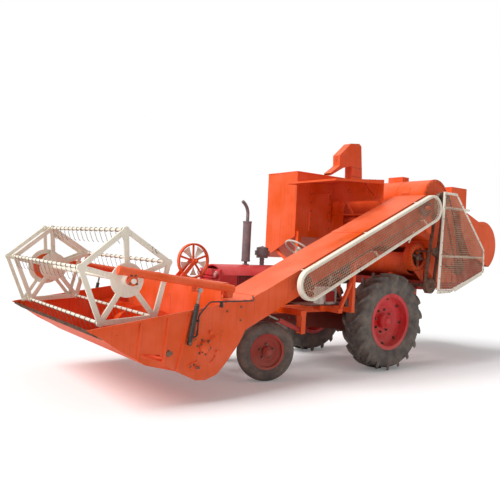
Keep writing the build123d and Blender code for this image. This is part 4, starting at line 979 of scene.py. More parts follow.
class HARVESTER_OT_tyres(bpy.types.Operator):
    """Makes the tyres with their tread, and the nuts and caps of the wheels"""

    bl_idname = "harvester.tyres"
    bl_label = "Tyres and wheels"

    def execute(self, context):
        sizes = context.scene.harvester_sizes
        for word, letter, side in SIDES:
            self.rear(word, letter, side, sizes.rear_nuts)
            self.front(word, letter, side, sizes.front_nuts)
        return {"FINISHED"}

    def rear(self, word, letter, side, nuts):
        centre = middle("rear_tyre_" + word)
        body = "rear_wheel_" + letter
        bm = bmesh.new()
        section = tyre_section(REAR_CROWN + REAR_WALL, REAR_INSIDE)
        turned(bm, centre, ACROSS, section, 96, loop=True)
        carcass = piece("rear_carcass_" + word, bm, "rubber", body)
        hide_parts("rear_tyre_" + word)
        values = {"Count": LUGS, "Centre": centre, "Swing": 0.0}
        lugs = grown("rear_lugs_" + word, rear_lugs(), TREES["ring"], values, "rubber", body)
        out = Vector((0, side, 0))
        disc = centre + out * -0.021
        spots = []
        for radius, count, start, rise in ((0.16, nuts, 0.2, 0.0), (0.318, 8, 0.1, 0.04)):
            for a in turn_angles(count, start):
                spots.append((disc + Vector((radius * cos(a), side * rise, radius * sin(a))), out))
        bolts("rear_nuts_" + word, body, spots, 30, 34, washer=1.3)
        bm = bmesh.new()
        cap = [(0, 96), (10, 96), (16, 88), (34, 62), (44, 56), (58, 50), (66, 36), (68, 10)]
        turned(bm, centre + out * 0.04, out, cap)
        piece("rear_hub_" + word, bm, "crimson", body)

    def front(self, word, letter, side, nuts):
        centre = middle("front_tyre_" + word)
        body = "front_wheel_" + letter
        swing = front_swing(letter)
        out = Vector((-sin(swing), cos(swing), 0)) * side
        bm = bmesh.new()
        section = tyre_section(FRONT_RIBS + FRONT_WALL, FRONT_INSIDE)
        turned(bm, centre, out, section, 96, loop=True)
        tyre = piece("front_carcass_" + word, bm, "rubber", body)
        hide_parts("front_tyre_" + word)
        level = Vector((cos(swing), sin(swing), 0))
        disc = centre + out * 0.018
        radius = 0.088
        spots = []
        for a in turn_angles(nuts, 0.3):
            spots.append((disc + level * radius * cos(a) + Vector((0, 0, radius * sin(a))), out))
        bolts("front_nuts_" + word, body, spots, 26, 26, washer=1.3)
        bm = bmesh.new()
        turned(bm, centre + out * 0.075, out, [(0, 56), (8, 56), (14, 46), (30, 40), (38, 30), (40, 8)])
        piece("front_hub_" + word, bm, "primer", body)


# Guards

WEAVE = 2.5  # how far a wire bends to pass another


def centre_of(corners):
    return (sum(c[0] for c in corners) / len(corners), sum(c[1] for c in corners) / len(corners))


def sides_of(corners):
    """Each side of a convex outline: its first corner and the unit normal that points inwards."""
    centre = centre_of(corners)
    for n, (ax, az) in enumerate(corners):
        bx, bz = corners[(n + 1) % len(corners)]
        size = hypot(bx - ax, bz - az)
        nx, nz = (bz - az) / size, (ax - bx) / size
        if (centre[0] - ax) * nx + (centre[1] - az) * nz < 0:
            nx, nz = -nx, -nz
        yield ax, az, nx, nz


def clipped(corners, start, way):
    """The stretch, as two distances, of a line that lies inside a convex outline."""
    near, far = -1e9, 1e9
    for ax, az, nx, nz in sides_of(corners):
        speed = way[0] * nx + way[1] * nz
        gap = (start[0] - ax) * nx + (start[1] - az) * nz
        if abs(speed) < 1e-9:
            if gap < 0:
                return None
        elif speed > 0:
            near = max(near, -gap / speed)
        else:
            far = min(far, -gap / speed)
    return (near, far) if far > near else None


def inset(corners, depth):
    """A convex outline moved inwards."""
    lines = [(nx, nz, ax * nx + az * nz + depth) for ax, az, nx, nz in sides_of(corners)]
    points = []
    for n, (a, b, c) in enumerate(lines):
        d, e, f = lines[n - 1]
        cross = a * e - b * d
        points.append(((c * e - b * f) / cross, (a * f - c * d) / cross))
    return points


def woven(corners, y, pitch, lean=0.0):
    """Lines of a woven mesh inside a convex outline: two sets of wires that pass over and under."""
    lines = []
    centre = centre_of(corners)
    reach = max(hypot(c[0] - centre[0], c[1] - centre[1]) for c in corners)
    count = ceil(reach / pitch)
    for turn in (lean, lean + pi / 2):
        way = (cos(turn), sin(turn))
        step = (-way[1], way[0])
        for n in range(-count, count + 1):
            start = (centre[0] + step[0] * n * pitch, centre[1] + step[1] * n * pitch)
            stretch = clipped(corners, start, way)
            if not stretch:
                continue
            low, high = ceil(stretch[0] / pitch), int(stretch[1] // pitch)
            stops = [stretch[0], *(k * pitch for k in range(low, high + 1)), stretch[1]]
            line = []
            for s in stops:
                over = 1 if (round(s / pitch) + n) % 2 else -1
                if turn != lean:
                    over = -over
                line.append(at(start[0] + way[0] * s, y + over * WEAVE, start[1] + way[1] * s))
            lines.append(line)
    return lines


FEEDER_SLOPE = radians(25.3)
PIVOT = (-280.0, 2300.0)
GUARD_RADIUS = 190.0
GUARD_LENGTH = 2430.0
GUARD_DROP = 15.0  # of the guard's middle line under the feeder's
GUARD_Y = (1215.0, 1325.0)
FEEDER_LEFT = 1120.0


def on_feeder(along, up):
    """A side-view place on the feeder: along it from its upper shaft, and above its middle line."""
    x = PIVOT[0] + along * cos(FEEDER_SLOPE) + up * sin(FEEDER_SLOPE)
    return (x, PIVOT[1] - along * sin(FEEDER_SLOPE) + up * cos(FEEDER_SLOPE))


def guard_rim(depth, steps=20):
    """The round-ended outline of the feeder's guard, a depth inside its edge."""
    radius = GUARD_RADIUS - depth
    points = []
    for centre, first in ((GUARD_LENGTH, pi / 2), (0.0, -pi / 2)):
        for n in range(steps + 1):
            a = first - pi * n / steps
            points.append(on_feeder(centre + radius * cos(a), -GUARD_DROP + radius * sin(a)))
    return points


REAR_GUARD = ((-550, 2550), (-850, 2550), (-1620, 1767), (-1640, 1426), (-800, 1120), (-510, 1110))
REAR_GUARD_Y = 1300.0
REAR_SCREW_PITCH = 0.16


class HARVESTER_OT_guards(bpy.types.Operator):
    """Makes the two belt guards of sheet strip and woven wire"""

    bl_idname = "harvester.guards"
    bl_label = "Guards"

    def execute(self, context):
        sizes = context.scene.harvester_sizes
        self.feeder(sizes)
        self.rear(sizes)
        return {"FINISHED"}

    def feeder(self, sizes):
        body = "feeder_and_header"
        y0, y1 = GUARD_Y
        bm = bmesh.new()
        edge = y0 + 42
        band = [(0, edge + 2), (0, y1 - 5), (2, y1 - 1), (6, y1), (26, y1), (26, y1 - 3), (8, y1 - 4)]
        band += [(5, y1 - 8), (5, edge + 6), (12, edge + 3), (10, edge), (3, edge)]
        swept(bm, guard_rim, band)
        swept(bm, guard_rim, [(30, y1 - 3), (40, y1 - 3), (40, y1 - 9), (30, y1 - 9)])
        for along in (130.0, GUARD_LENGTH / 2, GUARD_LENGTH - 60):
            for up in (GUARD_RADIUS - 19, -GUARD_RADIUS - 11):
                x, z = on_feeder(along, up)
                foot = on_feeder(along, 132 if up > 0 else -132)
                flat_bar(bm, at(foot[0], y0 + 12, foot[1]), at(x, edge + 6, z), 30, 6)
                tube(bm, [at(foot[0], FEEDER_LEFT, foot[1]), at(foot[0], y0 + 16, foot[1])], 6)
        band = piece("feeder_guard_band", bm, "cream", body)
        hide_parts("feeder_guard")
        pitch = sizes.mesh_pitch / MM
        lines = woven(guard_rim(24), y1 - 9, pitch, -FEEDER_SLOPE)
        net = wires("feeder_guard_mesh", body, lines, sizes.mesh_wire, "wire", sides=5)
        spots = []
        for x, z in guard_rim(16, 6):
            spots.append((at(x, y1, z), Vector(ACROSS)))
        for n in range(1, 9):
            for up in (GUARD_RADIUS - 35, -GUARD_RADIUS + 5):
                x, z = on_feeder(GUARD_LENGTH * n / 9, up)
                spots.append((at(x, y1, z), Vector(ACROSS)))
        screws = bolts("feeder_guard_screws", body, spots, 9, 3, 6, washer=1.2, finish="cream")

    def rear(self, sizes):
        y = REAR_GUARD_Y
        bm = bmesh.new()
        angle = [(0, y - 22), (0, y - 2), (2, y), (34, y), (34, y - 4), (5, y - 5), (5, y - 22)]
        swept(bm, lambda depth: inset(REAR_GUARD, depth), angle)
        for x, z, half in ((-1080, 1640, 540), (-870, 2330, 330)):
            flat_bar(bm, at(x - half, y - 14, z), at(x + half, y - 14, z), 30, 6)
        for x, z, foot in ((-1250, 1640, 960), (-1010, 1640, 960), (-920, 2330, 1030)):
            tube(bm, [at(x, foot, z), at(x, y - 14, z)], 12, 14)
            turned(bm, at(x, y - 60, z), ACROSS, [(0, 20), (22, 20), (22, 20.1)], 6)
        band = piece("rear_guard_frame", bm, "cream", "chassis")
        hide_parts("rear_guard")
        lines = woven(inset(REAR_GUARD, 26), y - 9, sizes.mesh_pitch / MM)
        net = wires("rear_guard_mesh", "chassis", lines, sizes.mesh_wire, "wire", sides=5)
        spots = []
        corners = inset(REAR_GUARD, 17)
        for n, (ax, az) in enumerate(corners):
            bx, bz = corners[(n + 1) % len(corners)]
            spots += along_edge(at(ax, y, az), at(bx, y, bz), REAR_SCREW_PITCH, ACROSS)
        bolts("rear_guard_screws", "chassis", spots, 12, 4, 6, washer=1.2)


# Reel

REEL = (4085.0, 1275.0)
REEL_RADIUS = 485.0
REEL_PHASE = radians(86)
BATS = 5
REEL_SPAN = (-1165.0, 1035.0)  # outer faces of the two spiders
SPIDER_DEPTH = 24.0
ECCENTRIC = 80.0
ARM_FOOT = (2900.0, 1190.0)
ARM_END = (4230.0, 1378.0)
ARM_Y = (1135.0, -1255.0)
DRIVE_Y = 80.0  # middle of the drive wheel
DRIVE_SPOKES = 5
DRIVE_PHASE = 88  # degrees at which its first spoke stands
TINES = 16
TINE_LEAN = radians(20)


def on_reel(n, reach):
    """A side-view place on the arm of bat n, at a reach from the reel's shaft."""
    angle = REEL_PHASE + 2 * pi / BATS * n
    return (REEL[0] + reach * cos(angle), REEL[1] + reach * sin(angle))


def tine_line(x, y, z):
    """A spring tine: two and a half turns round the bat, then down with its tip bent back."""
    radius, turns, steps = 20.0, 2.5, 25
    line = []
    for n in range(steps + 1):
        left = turns * (1 - n / steps)
        a = -TINE_LEAN - 2 * pi * left
        line.append(at(x + radius * cos(a), y + 6.5 * left, z + radius * sin(a)))
    down = (-sin(TINE_LEAN), -cos(TINE_LEAN))
    start = (x + radius * cos(TINE_LEAN), z - radius * sin(TINE_LEAN))
    for along in (30, 60, 90, 105):
        line.append(at(start[0] + down[0] * along, y, start[1] + down[1] * along))
    bend = start[0] + down[0] * 118, start[1] + down[1] * 118
    back = (-sin(TINE_LEAN + 0.45), -cos(TINE_LEAN + 0.45))
    for along in (0, 12, 26):
        line.append(at(bend[0] + back[0] * along, y, bend[1] + back[1] * along))
    return line


class HARVESTER_OT_reel(bpy.types.Operator):
    """Makes the reel's bats with their spring tines, and its bolts and bearings"""

    bl_idname = "harvester.reel"
    bl_label = "Reel"

    def execute(self, context):
        inner = (REEL_SPAN[0] + SPIDER_DEPTH + 0.3, REEL_SPAN[1] - SPIDER_DEPTH - 0.3)
        for n in range(BATS):
            self.bat(n, inner, context.scene.harvester_sizes.tine_wire)
        self.bearings()
        return {"FINISHED"}

    def bat(self, n, inner, wire):
        x, z = on_reel(n, REEL_RADIUS)
        body = f"bat_{n + 1}"
        bm = bmesh.new()
        length_of_bat = inner[1] - inner[0]
        collar = [(0, 19), (26, 19), (28, 16)]
        profile = collar + [(length_of_bat - a, r) for a, r in reversed(collar)]
        turned(bm, at(x, inner[0], z), ACROSS, profile, 20)
        crank_y = (REEL_SPAN[0] - 18, REEL_SPAN[0] - 6)
        pin_length = REEL_SPAN[1] + 4 - crank_y[0]
        turned(bm, at(x, crank_y[0], z), ACROSS, [(0, 12), (pin_length, 12)], 14)
        rim = []
        for centre, radius, first in ((0.0, 17.0, pi / 2), (ECCENTRIC, 14.0, -pi / 2)):
            for k in range(9):
                a = first + pi * k / 8
                rim.append((x + centre + radius * cos(a), z + radius * sin(a)))
        prism(bm, rim, crank_y, 1.5)
        turned(bm, at(x + ECCENTRIC, crank_y[0] - 24, z), ACROSS, [(0, 7), (2, 9), (34, 9)], 14)
        bat = piece(f"bat_{n + 1}_bar", bm, "cream", body)
        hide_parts(f"tine_bar_{n + 1}")
        span = length_of_bat - 120
        step = (0, span / (TINES - 1) * MM, 0)
        first = tine_line(x, inner[0] + 52, z)
        tines = wires(f"bat_{n + 1}_tines", body, [first], wire, "tine", TINES, step, 8)

    def bearings(self):
        spots = []
        right_inside, left_inside = REEL_SPAN[0] + SPIDER_DEPTH, REEL_SPAN[1] - SPIDER_DEPTH
        for y, side in ((REEL_SPAN[1], 1), (right_inside, 1), (left_inside, -1)):
            spots += around(*REEL, y, 130, 10, side)
            for n in range(BATS):
                for reach in (380, 415, 200, 235):
                    x, z = on_reel(n, reach)
                    spots.append((at(x, y, z), Vector((0, side, 0))))
        bolts("reel_bolts", "reel", spots, 14, 7, finish="cream")
        bm = bmesh.new()
        cap = [(0, 62), (10, 62), (14, 56), (34, 40), (36, 30)]
        turned(bm, at(REEL[0], REEL_SPAN[1], REEL[1]), ACROSS, cap, 28)
        piece("reel_hub", bm, "cream", "reel")
        arm_bolts = []
        for y, side in ((1165.0, 1), (-1285.0, -1)):
            for dx, dz in ((-22, 54), (22, 54), (-36, -26), (36, -26)):
                arm_bolts.append((at(REEL[0] + dx, y, REEL[1] + dz), Vector((0, side, 0))))
        bolts("reel_bearing_bolts", "reel_arms", arm_bolts, 20, 12)
        bm = bmesh.new()
        slope = atan2(ARM_END[1] - ARM_FOOT[1], ARM_END[0] - ARM_FOOT[0])
        way = (cos(slope), 0, sin(slope))
        for y in ARM_Y:
            for along in (60, 480, 900, 1300):
                place = at(ARM_FOOT[0] + along * cos(slope), y, ARM_FOOT[1] + along * sin(slope))
                strap(bm, place, way, 42, 34, 28)
            turned(bm, at(ARM_END[0], y, ARM_END[1]), way, [(0, 42), (4, 40), (7, 30), (8, 8)], 28)
        piece("reel_arm_collars", bm, "orange", "reel_arms")
        self.drive_wheel()

    def drive_wheel(self):
        """Pale blades between the spokes of the drive wheel, its hub caps and rim."""
        centre = middle("reel_drive_wheel")
        centre.y = DRIVE_Y * MM
        bm = bmesh.new()
        for n in range(DRIVE_SPOKES):
            start = radians(DRIVE_PHASE + 360 / DRIVE_SPOKES * (n + 0.5))
            rings = []
            for k in range(7):
                t = k / 6
                reach = (48 + 138 * t) * MM
                half = 0.13 + 0.16 * t
                twist = 0.02 - 0.014 * t
                ring = []
                for shift, thick in ((-half, -1), (half, -1), (half, 1), (-half, 1)):
                    a = start + shift
                    y = twist * (1 if shift > 0 else -1) + thick * 0.0012
                    ring.append(bm.verts.new(centre + Vector((reach * cos(a), y, reach * sin(a)))))
                rings.append(ring)
            skin(bm, rings)
        piece("drive_wheel_blades", bm, "cream", "drive_wheel")
        bm = bmesh.new()
        for side in (1, -1):
            out = Vector((0, side, 0))
            turned(bm, centre + out * 0.03, out, [(0, 34), (6, 32), (14, 24), (18, 17)], 24)
            rim = [(0, 196), (3, 198), (3, 216), (0, 218)]
            turned(bm, centre + out * 0.022, out, rim, 48, loop=True)
        piece("drive_wheel_hub", bm, "orange", "drive_wheel")


# Header

FLOOR_END = (4380.0, 745.0)
FLOOR_RISE = atan2(FLOOR_END[1] - 470, FLOOR_END[0] - 3930)
HEADER_INSIDE = (-1284.0, 1194.0)
GUARDS = 32
SIDE_LEFT = 1200.0


def past_floor(along, up):
    """A side-view place beyond the header's floor: along its rise from its end, and above it."""
    x = FLOOR_END[0] + along * cos(FLOOR_RISE) - up * sin(FLOOR_RISE)
    return (x, FLOOR_END[1] + along * sin(FLOOR_RISE) + up * cos(FLOOR_RISE))


def knife_section():
    """One blade of the knife, with bevelled cutting edges."""
    bm = bmesh.new()
    back, half, root, tip = 46.0, 36.0, 8.0, 62.0
    rim = ((0, -half), (root, -half), (tip, -9), (tip, 9), (root, half), (0, half))
    rings = []
    for up, shrink in ((6.0, 0), (9.0, 5)):
        ring = []
        for along, across_bar in rim:
            keep = 1 - shrink / half if along else 1
            x, z = past_floor(back + along - (shrink if along == tip else 0), up)
            ring.append(bm.verts.new(at(x, HEADER_INSIDE[0] + across_bar * keep, z)))
        rings.append(ring)
    skin(bm, rings)
    return mesh_of("knife_section", bm)


class HARVESTER_OT_header(bpy.types.Operator):
    """Makes the knife, the fittings on the left side plate and the header's bolts"""

    bl_idname = "harvester.header"
    bl_label = "Header"

    def execute(self, context):
        pitch = (HEADER_INSIDE[1] - HEADER_INSIDE[0]) / GUARDS
        values = {"Count": GUARDS - 1, "Step": (0, pitch * MM, 0)}
        mesh = knife_section()
        for vertex in mesh.vertices:
            vertex.co.y += pitch * MM
        knife = grown("knife_sections", mesh, TREES["row"], values, "steel", "feeder_and_header")
        x, z = past_floor(24, 6)
        up = Vector((-sin(FLOOR_RISE), 0, cos(FLOOR_RISE)))
        spots = []
        for n in range(GUARDS):
            spots.append((at(x, HEADER_INSIDE[0] + pitch * (n + 0.5), z), up))
        bolts("guard_bolts", "feeder_and_header", spots, 15, 7)
        self.side_fittings()
        self.ram()
        self.seams(context.scene.harvester_sizes.rivet_pitch)
        return {"FINISHED"}

    def side_fittings(self):
        """The auger's bearing, the crank rods, the feet and the oil pipe on the left side plate."""
        y = SIDE_LEFT
        body = "feeder_and_header"
        dark, paint = bmesh.new(), bmesh.new()
        turned(paint, at(3280, y + 22, 600), ACROSS, [(0, 56), (6, 56), (10, 48), (18, 34), (22, 20)], 28)
        turned(paint, at(3214, y, 748), ACROSS, [(0, 10), (16, 10), (18, 20), (30, 20), (33, 14)], 18)
        turned(paint, at(3123, y, 538), ACROSS, [(0, 10), (14, 10), (16, 18), (28, 18), (31, 12)], 18)
        tube(paint, [at(3275, y + 30, 607), at(3215, y + 30, 657), at(3150, y + 24, 711)], 8)
        arc = [(3138, 502), (3146, 480), (3160, 460), (3178, 446), (3196, 435)]
        tube(paint, [at(x, y + 12, z) for x, z in arc], 7)
        prism(paint, ((3464, 405), (3355, 441), (3355, 465), (3464, 429)), (y, y + 16))
        prism(paint, ((3325, 385), (3378, 385), (3378, 405), (3325, 405)), (y, y + 20))
        prism(dark, ((3640, 560), (3700, 530), (3730, 560), (3690, 600)), (y, y + 12))
        piece("side_fittings_dark", dark, "rusty", body)
        piece("side_fittings_painted", paint, "orange", body)
        pipe = bmesh.new()
        path = [(3446, 683), (3420, 679), (3402, 676), (3395, 682), (3393, 712), (3391, 745), (3390, 782)]
        tube(pipe, [at(x, y + 22, z) for x, z in path], 5)
        piece("side_pipe", pipe, "copper", body)
        spots = around(3280, 600, y + 22, 50, 4, 1, 0.6)
        on_feet = ((3400, 432), (3440, 418), (3340, 395), (3362, 395))
        on_plate = ((3010, 960), (2830, 1000), (2830, 860))
        spots += [(at(x, y + 18, z), Vector(ACROSS)) for x, z in on_feet]
        spots += [(at(x, y, z), Vector(ACROSS)) for x, z in on_plate]
        spots += around(3280, 600, y, 80, 6, 1, 0.2)
        bolts("side_bolts", body, spots, 19, 10)

    def ram(self):
        """The ribbed rubber boot over the reel's left ram, and the nut of its lower pin."""
        foot, eye = (3480.0, 660.0), (3385.0, 1190.0)
        size = hypot(eye[0] - foot[0], eye[1] - foot[1])
        way = Vector(((eye[0] - foot[0]) / size, 0, (eye[1] - foot[1]) / size))
        bm = bmesh.new()
        y = 1242.0
        profile = [(0, 22.5)]
        for n in range(22):
            profile += [(8 + 15 * n, 23.5), (15 + 15 * n, 28)]
        profile += [(340, 24), (342, 22.5)]
        turned(bm, at(foot[0], y, foot[1]) + way * 0.045, way, profile, 24)
        piece("ram_boot", bm, "black", "reel_ram_barrel")
        spots = [(at(foot[0], y + 16, foot[1]), Vector(ACROSS))]
        bolts("ram_foot_nuts", "feeder_and_header", spots, 24, 5)

    def seams(self, pitch):
        """Rivets along the seams of the left side plate and of the feeder."""
        body = "feeder_and_header"
        y = SIDE_LEFT + 14
        spots = along_edge(at(2800, y, 1064), at(4480, y, 837), pitch * 2, ACROSS)
        upright = (((4000, 905), (4026, 540)), ((3706, 945), (3745, 485)), ((3460, 975), (3590, 400)))
        for (ax, az), (bx, bz) in upright:
            spots += along_edge(at(ax, y, az), at(bx, y, bz), pitch * 1.2, ACROSS)
        rivets("side_rivets", body, spots)
        spots = []
        for up in (125, -125):
            a, b = on_feeder(120, up), on_feeder(2950, up)
            spots += along_edge(at(a[0], FEEDER_LEFT, a[1]), at(b[0], FEEDER_LEFT, b[1]), pitch, ACROSS)
        rivets("feeder_rivets", body, spots)


# Driver's place

PLATFORM_TOP = 912.0


def cushion(name, corners, thickness, place, tilt, cap):
    """A pad swollen from a flat form by cloth pressure, with its outline rounded."""
    bm = bmesh.new()
    half_x, half_y = corners
    rim = []
    corner = 45.0
    for sx, sy, first in ((1, 1, 0), (-1, 1, pi / 2), (-1, -1, pi), (1, -1, 3 * pi / 2)):
        for k in range(5):
            a = first + pi / 2 * k / 4
            rim.append((sx * (half_x - corner) + corner * cos(a), sy * (half_y - corner) + corner * sin(a)))
    rings = []
    for z in (-thickness / 2, thickness / 2):
        rings.append([bm.verts.new((x * MM, y * MM, z * MM)) for x, y in rim])
    skin(bm, rings)
    obj = bpy.data.objects.new(name, mesh_of(name, bm))
    bpy.context.scene.collection.objects.link(obj)
    remesh = obj.modifiers.new("remesh", "REMESH")
    remesh.mode, remesh.voxel_size = "VOXEL", 0.006
    apply_modifiers(obj)
    start = [v.co.copy() for v in obj.data.vertices]
    cloth = obj.modifiers.new("cloth", "CLOTH")
    cloth.settings.use_pressure = True
    cloth.settings.uniform_pressure_force = 4.0
    cloth.settings.effector_weights.gravity = 0.0
    scene = bpy.context.scene
    for number in range(1, 21):
        scene.frame_set(number)
    apply_modifiers(obj)
    scene.frame_set(1)
    for vertex, before in zip(obj.data.vertices, start):
        moved = vertex.co - before
        if moved.length > cap * MM:
            vertex.co = before + moved.normalized() * cap * MM
    groove(obj.data, half_x, half_y)
    divide = obj.modifiers.new("divide", "SUBSURF")
    divide.levels = 1
    apply_modifiers(obj)
    turn = Matrix.Rotation(tilt, 4, "Y")
    obj.data.transform(Matrix.Translation(at(*place)) @ turn)
    obj.data.materials.append(FINISHES["vinyl"])
    obj.data.shade_smooth()
    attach(obj, "chassis")
    return obj


def groove(mesh, half_x, half_y):
    """Sewn channels across the pad's top, a third of its depth apart."""
    reach, depth = 16, 7
    for vertex in mesh.vertices:
        if vertex.co.z <= 0 or abs(vertex.co.y) > half_y * MM * 0.86:
            continue
        for line in (-half_x / 3, half_x / 3):
            gap = abs(vertex.co.x / MM - line)
            if gap < reach:
                vertex.co.z -= depth * MM * cos(gap / reach * pi / 2) ** 2


def apply_modifiers(obj):
    graph = bpy.context.evaluated_depsgraph_get()
    mesh = bpy.data.meshes.new_from_object(obj.evaluated_get(graph), depsgraph=graph)
    obj.modifiers.clear()
    old = obj.data
    obj.data = mesh
    bpy.data.meshes.remove(old)


class HARVESTER_OT_driver(bpy.types.Operator):
    """Makes the padded seat with its frame, the levers and the floor's bolts"""

    bl_idname = "harvester.driver"
    bl_label = "Driver's place"

    def execute(self, context):
        seat = cushion("seat_cushion", (185, 200), 44, (270, 0, 1208), 0.0, 20)
        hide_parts("driver_seat")
        cushion("seat_back", (150, 190), 32, (52, 0, 1425), radians(-98), 14)
        bm = bmesh.new()
        pan = ((64, 1166), (476, 1166), (476, 1180), (84, 1180), (78, 1250), (64, 1250))
        prism(bm, pan, (-215, 215), 4)
        for y in (-120, 120):
            flat_bar(bm, at(70, y, 1180), at(18, y, 1560), 40, 6, FORWARD)
        spring, steps, radius = [], 96, 60
        for n in range(steps + 1):
            a = 2 * pi * n / 16
            spring.append(at(255 + radius * cos(a), radius * sin(a), 980 + 175 * n / steps))
        tube(bm, spring, 9, 8)
        box(bm, (185, 325), (-85, 85), (930, 975))
        for y in (-60, 60):
            flat_bar(bm, at(200, y, 975), at(330, y, 1166), 30, 10)
        piece("seat_frame", bm, "rusty", "chassis")
        self.levers()
        return {"FINISHED"}

    def levers(self):
        bm, knobs = bmesh.new(), bmesh.new()
        for (x, y), (tx, ty, tz) in (
            ((640, 290), (560, 300, 1420)),
            ((690, 330), (640, 345, 1370)),
            ((700, -120), (600, -140, 1330)),
            ((760, 250), (860, 262, 1230)),
        ):
            foot, head = at(x, y, PLATFORM_TOP), at(tx, ty, tz)
            bend = foot.lerp(head, 0.6) + Vector((0.02, 0, 0))
            tube(bm, [foot, bend, head], 8)
            turned(knobs, head, head - bend, [(-8, 9), (0, 18), (16, 22), (32, 18), (40, 8)], 16)
            turned(knobs, foot, UPWARD, [(0, 34), (6, 34), (34, 14), (44, 11)], 16)
        piece("levers", bm, "steel", "chassis")
        piece("lever_knobs", knobs, "black", "chassis")
        spots = []
        for y0, y1 in ((215, 560), (-560, -215)):
            for x in (460, 740, 1010, 1270):
                for y in (y0, y1):
                    spots.append((at(x, y, PLATFORM_TOP), Vector(UPWARD)))
        bolts("floor_bolts", "chassis", spots, 18, 6)


# Tractor

BONNET_SIDE = 230.0  # half its width
STACK_X = 1915.0
CLEANER_X = 1640.0


def louvre():
    """One pressed louvre in the bonnet's side, with its mouth to the rear."""
    bm = bmesh.new()
    rings = []
    for k in range(7):
        t = k / 6
        out = 7 * sin(pi * t) ** 0.5 if 0 < t < 1 else 0.4
        corners = ((0, 0.2), (20, 0.2), (20, 1.5), (3, 1 + out), (0, 1 + out))
        rings.append([bm.verts.new(at(1300 + x, BONNET_SIDE + y, 1168 + 100 * t)) for x, y in corners])
    skin(bm, rings)
    return mesh_of("louvre", bm)


class HARVESTER_OT_tractor(bpy.types.Operator):
    """Makes the bonnet's louvres and grille, the lamps, the battery's frame and the engine's fittings"""

    bl_idname = "harvester.tractor"
    bl_label = "Tractor"

    def execute(self, context):
        values = {"Count": 11, "Step": (0.034, 0, 0)}
        rows = grown("bonnet_louvres", louvre(), TREES["row"], values, "crimson", "chassis")
        self.grille()
        self.engine()
        self.stack()
        self.battery()
        return {"FINISHED"}

    def grille(self):
        bm = bmesh.new()
        for side in (1, -1):
            y = side * BONNET_SIDE
            spread = sorted((y, y + side * 5))
            for x in range(1915, 2193, 23):
                box(bm, (x, x + 9), spread, (1165, 1263), 1.0)
            box(bm, (1905, 2200), spread, (1158, 1168), 1.0)
            box(bm, (1905, 2200), spread, (1260, 1270), 1.0)
        piece("bonnet_side_grille", bm, "black", "chassis")
        glass, rims = bmesh.new(), bmesh.new()
        for side in (1, -1):
            face = at(2520, side * 185, 1287)
            turned(glass, face - Vector((0.004, 0, 0)), FORWARD, [(0, 35), (2, 34), (4, 20), (5, 4)], 28)
            rim = [(0, 42.5), (10, 43), (13, 40), (12, 35), (0, 35)]
            turned(rims, face - Vector((0.012, 0, 0)), FORWARD, rim, 28, loop=True)
        piece("lamp_glass", glass, "glass", "chassis")
        piece("lamp_rims", rims, "steel", "chassis")
        spots = []
        for side in (1, -1):
            way = (0, side, 0)
            y = side * BONNET_SIDE
            spots += along_edge(at(1000, y, 1160), at(2430, y, 1160), 0.24, way)
            spots += along_edge(at(2472, side * 223, 930), at(2472, side * 223, 1320), 0.12, way)
        bolts("bonnet_screws", "chassis", spots, 14, 4)

    def engine(self):
        iron, dark = bmesh.new(), bmesh.new()
        for x in (1420, 1560, 1700, 1840):
            path = [at(x, 185, 1040), at(x, 222, 1044), at(x, 240, 1062), at(x, 243, 1080)]
            tube(iron, path, 20, 14)
            turned(iron, at(x, 186, 1040), ACROSS, [(0, 34), (8, 34)], 6)
        tube(iron, [at(1370, 243, 1084), at(1890, 243, 1084)], 27, 18)
        for x in (1480, 1610):
            turned(dark, at(x, 240, 820), UPWARD, [(0, 30), (8, 46), (120, 48), (132, 44), (140, 20)], 28)
        box(iron, (1440, 1650), (186, 252), (955, 985), 5)
        box(iron, (1740, 1960), (188, 262), (840, 930), 8)
        for n in range(4):
            x, end = 1765 + 52 * n, 1640 + 66 * n
            turned(iron, at(x, 226, 930), UPWARD, [(0, 13), (18, 13), (20, 9), (34, 9), (36, 6)], 12)
            pipe = [at(x, 226, 962), at(x, 228, 990), at(x - 65, 225, 1010)]
            pipe += [at(end, 206, 1030), at(end, 200, 1118)]
            tube(dark, pipe, 4, 8)
        turned(iron, at(2040, 196, 900), ACROSS, [(0, 70), (36, 70), (40, 62), (58, 30)], 28)
        piece("engine_iron", iron, "casting", "chassis")
        piece("engine_dark", dark, "black", "chassis")
        spots = []
        for x in range(1040, 1960, 115):
            spots.append((at(x, 190, 700), Vector(ACROSS)))
            spots.append((at(x, -190, 700), Vector((0, -1, 0))))
        bolts("engine_bolts", "chassis", spots, 20, 10)

    def stack(self):
        bm = bmesh.new()
        for z in (1452, 1960):
            strap(bm, at(STACK_X, 0, z), UPWARD, 57, 22, 28)
        turned(bm, at(STACK_X, 0, 1408), UPWARD, [(0, 46), (8, 46), (8.5, 23)], 24)
        for z in (1548, 1562, 1576, 1590):
            turned(bm, at(CLEANER_X, 0, z), UPWARD, [(0, 100.5), (1, 103), (5, 103), (6, 100.5)], 32)
        lid = [(0, 80), (6, 74), (14, 40), (20, 14), (26, 12), (27, 6)]
        turned(bm, at(CLEANER_X, 0, 1636), UPWARD, lid, 28)
        for z in (1428, 1470):
            strap(bm, at(CLEANER_X, 0, z), UPWARD, 31, 16, 24)
        piece("stack_clamps", bm, "soot", "chassis")

    def battery(self):
        """The frame and the louvred panel on the left of the battery's box."""
        rim, louvres = bmesh.new(), bmesh.new()
        box(louvres, (795, 965), (570, 573), (950, 1095), 1)
        for x in range(800, 960, 16):
            box(louvres, (x, x + 6), (572, 577), (955, 1090), 1)
        face = (566, 578)
        box(rim, (770, 990), face, (1100, 1130))
        box(rim, (770, 990), face, (918, 945))
        for x in (762, 970):
            box(rim, (x, x + 28), face, (918, 1130))
        piece("battery_frame", rim, "grey", "chassis")
        piece("battery_louvres", louvres, "primer", "chassis")


# Threshing unit

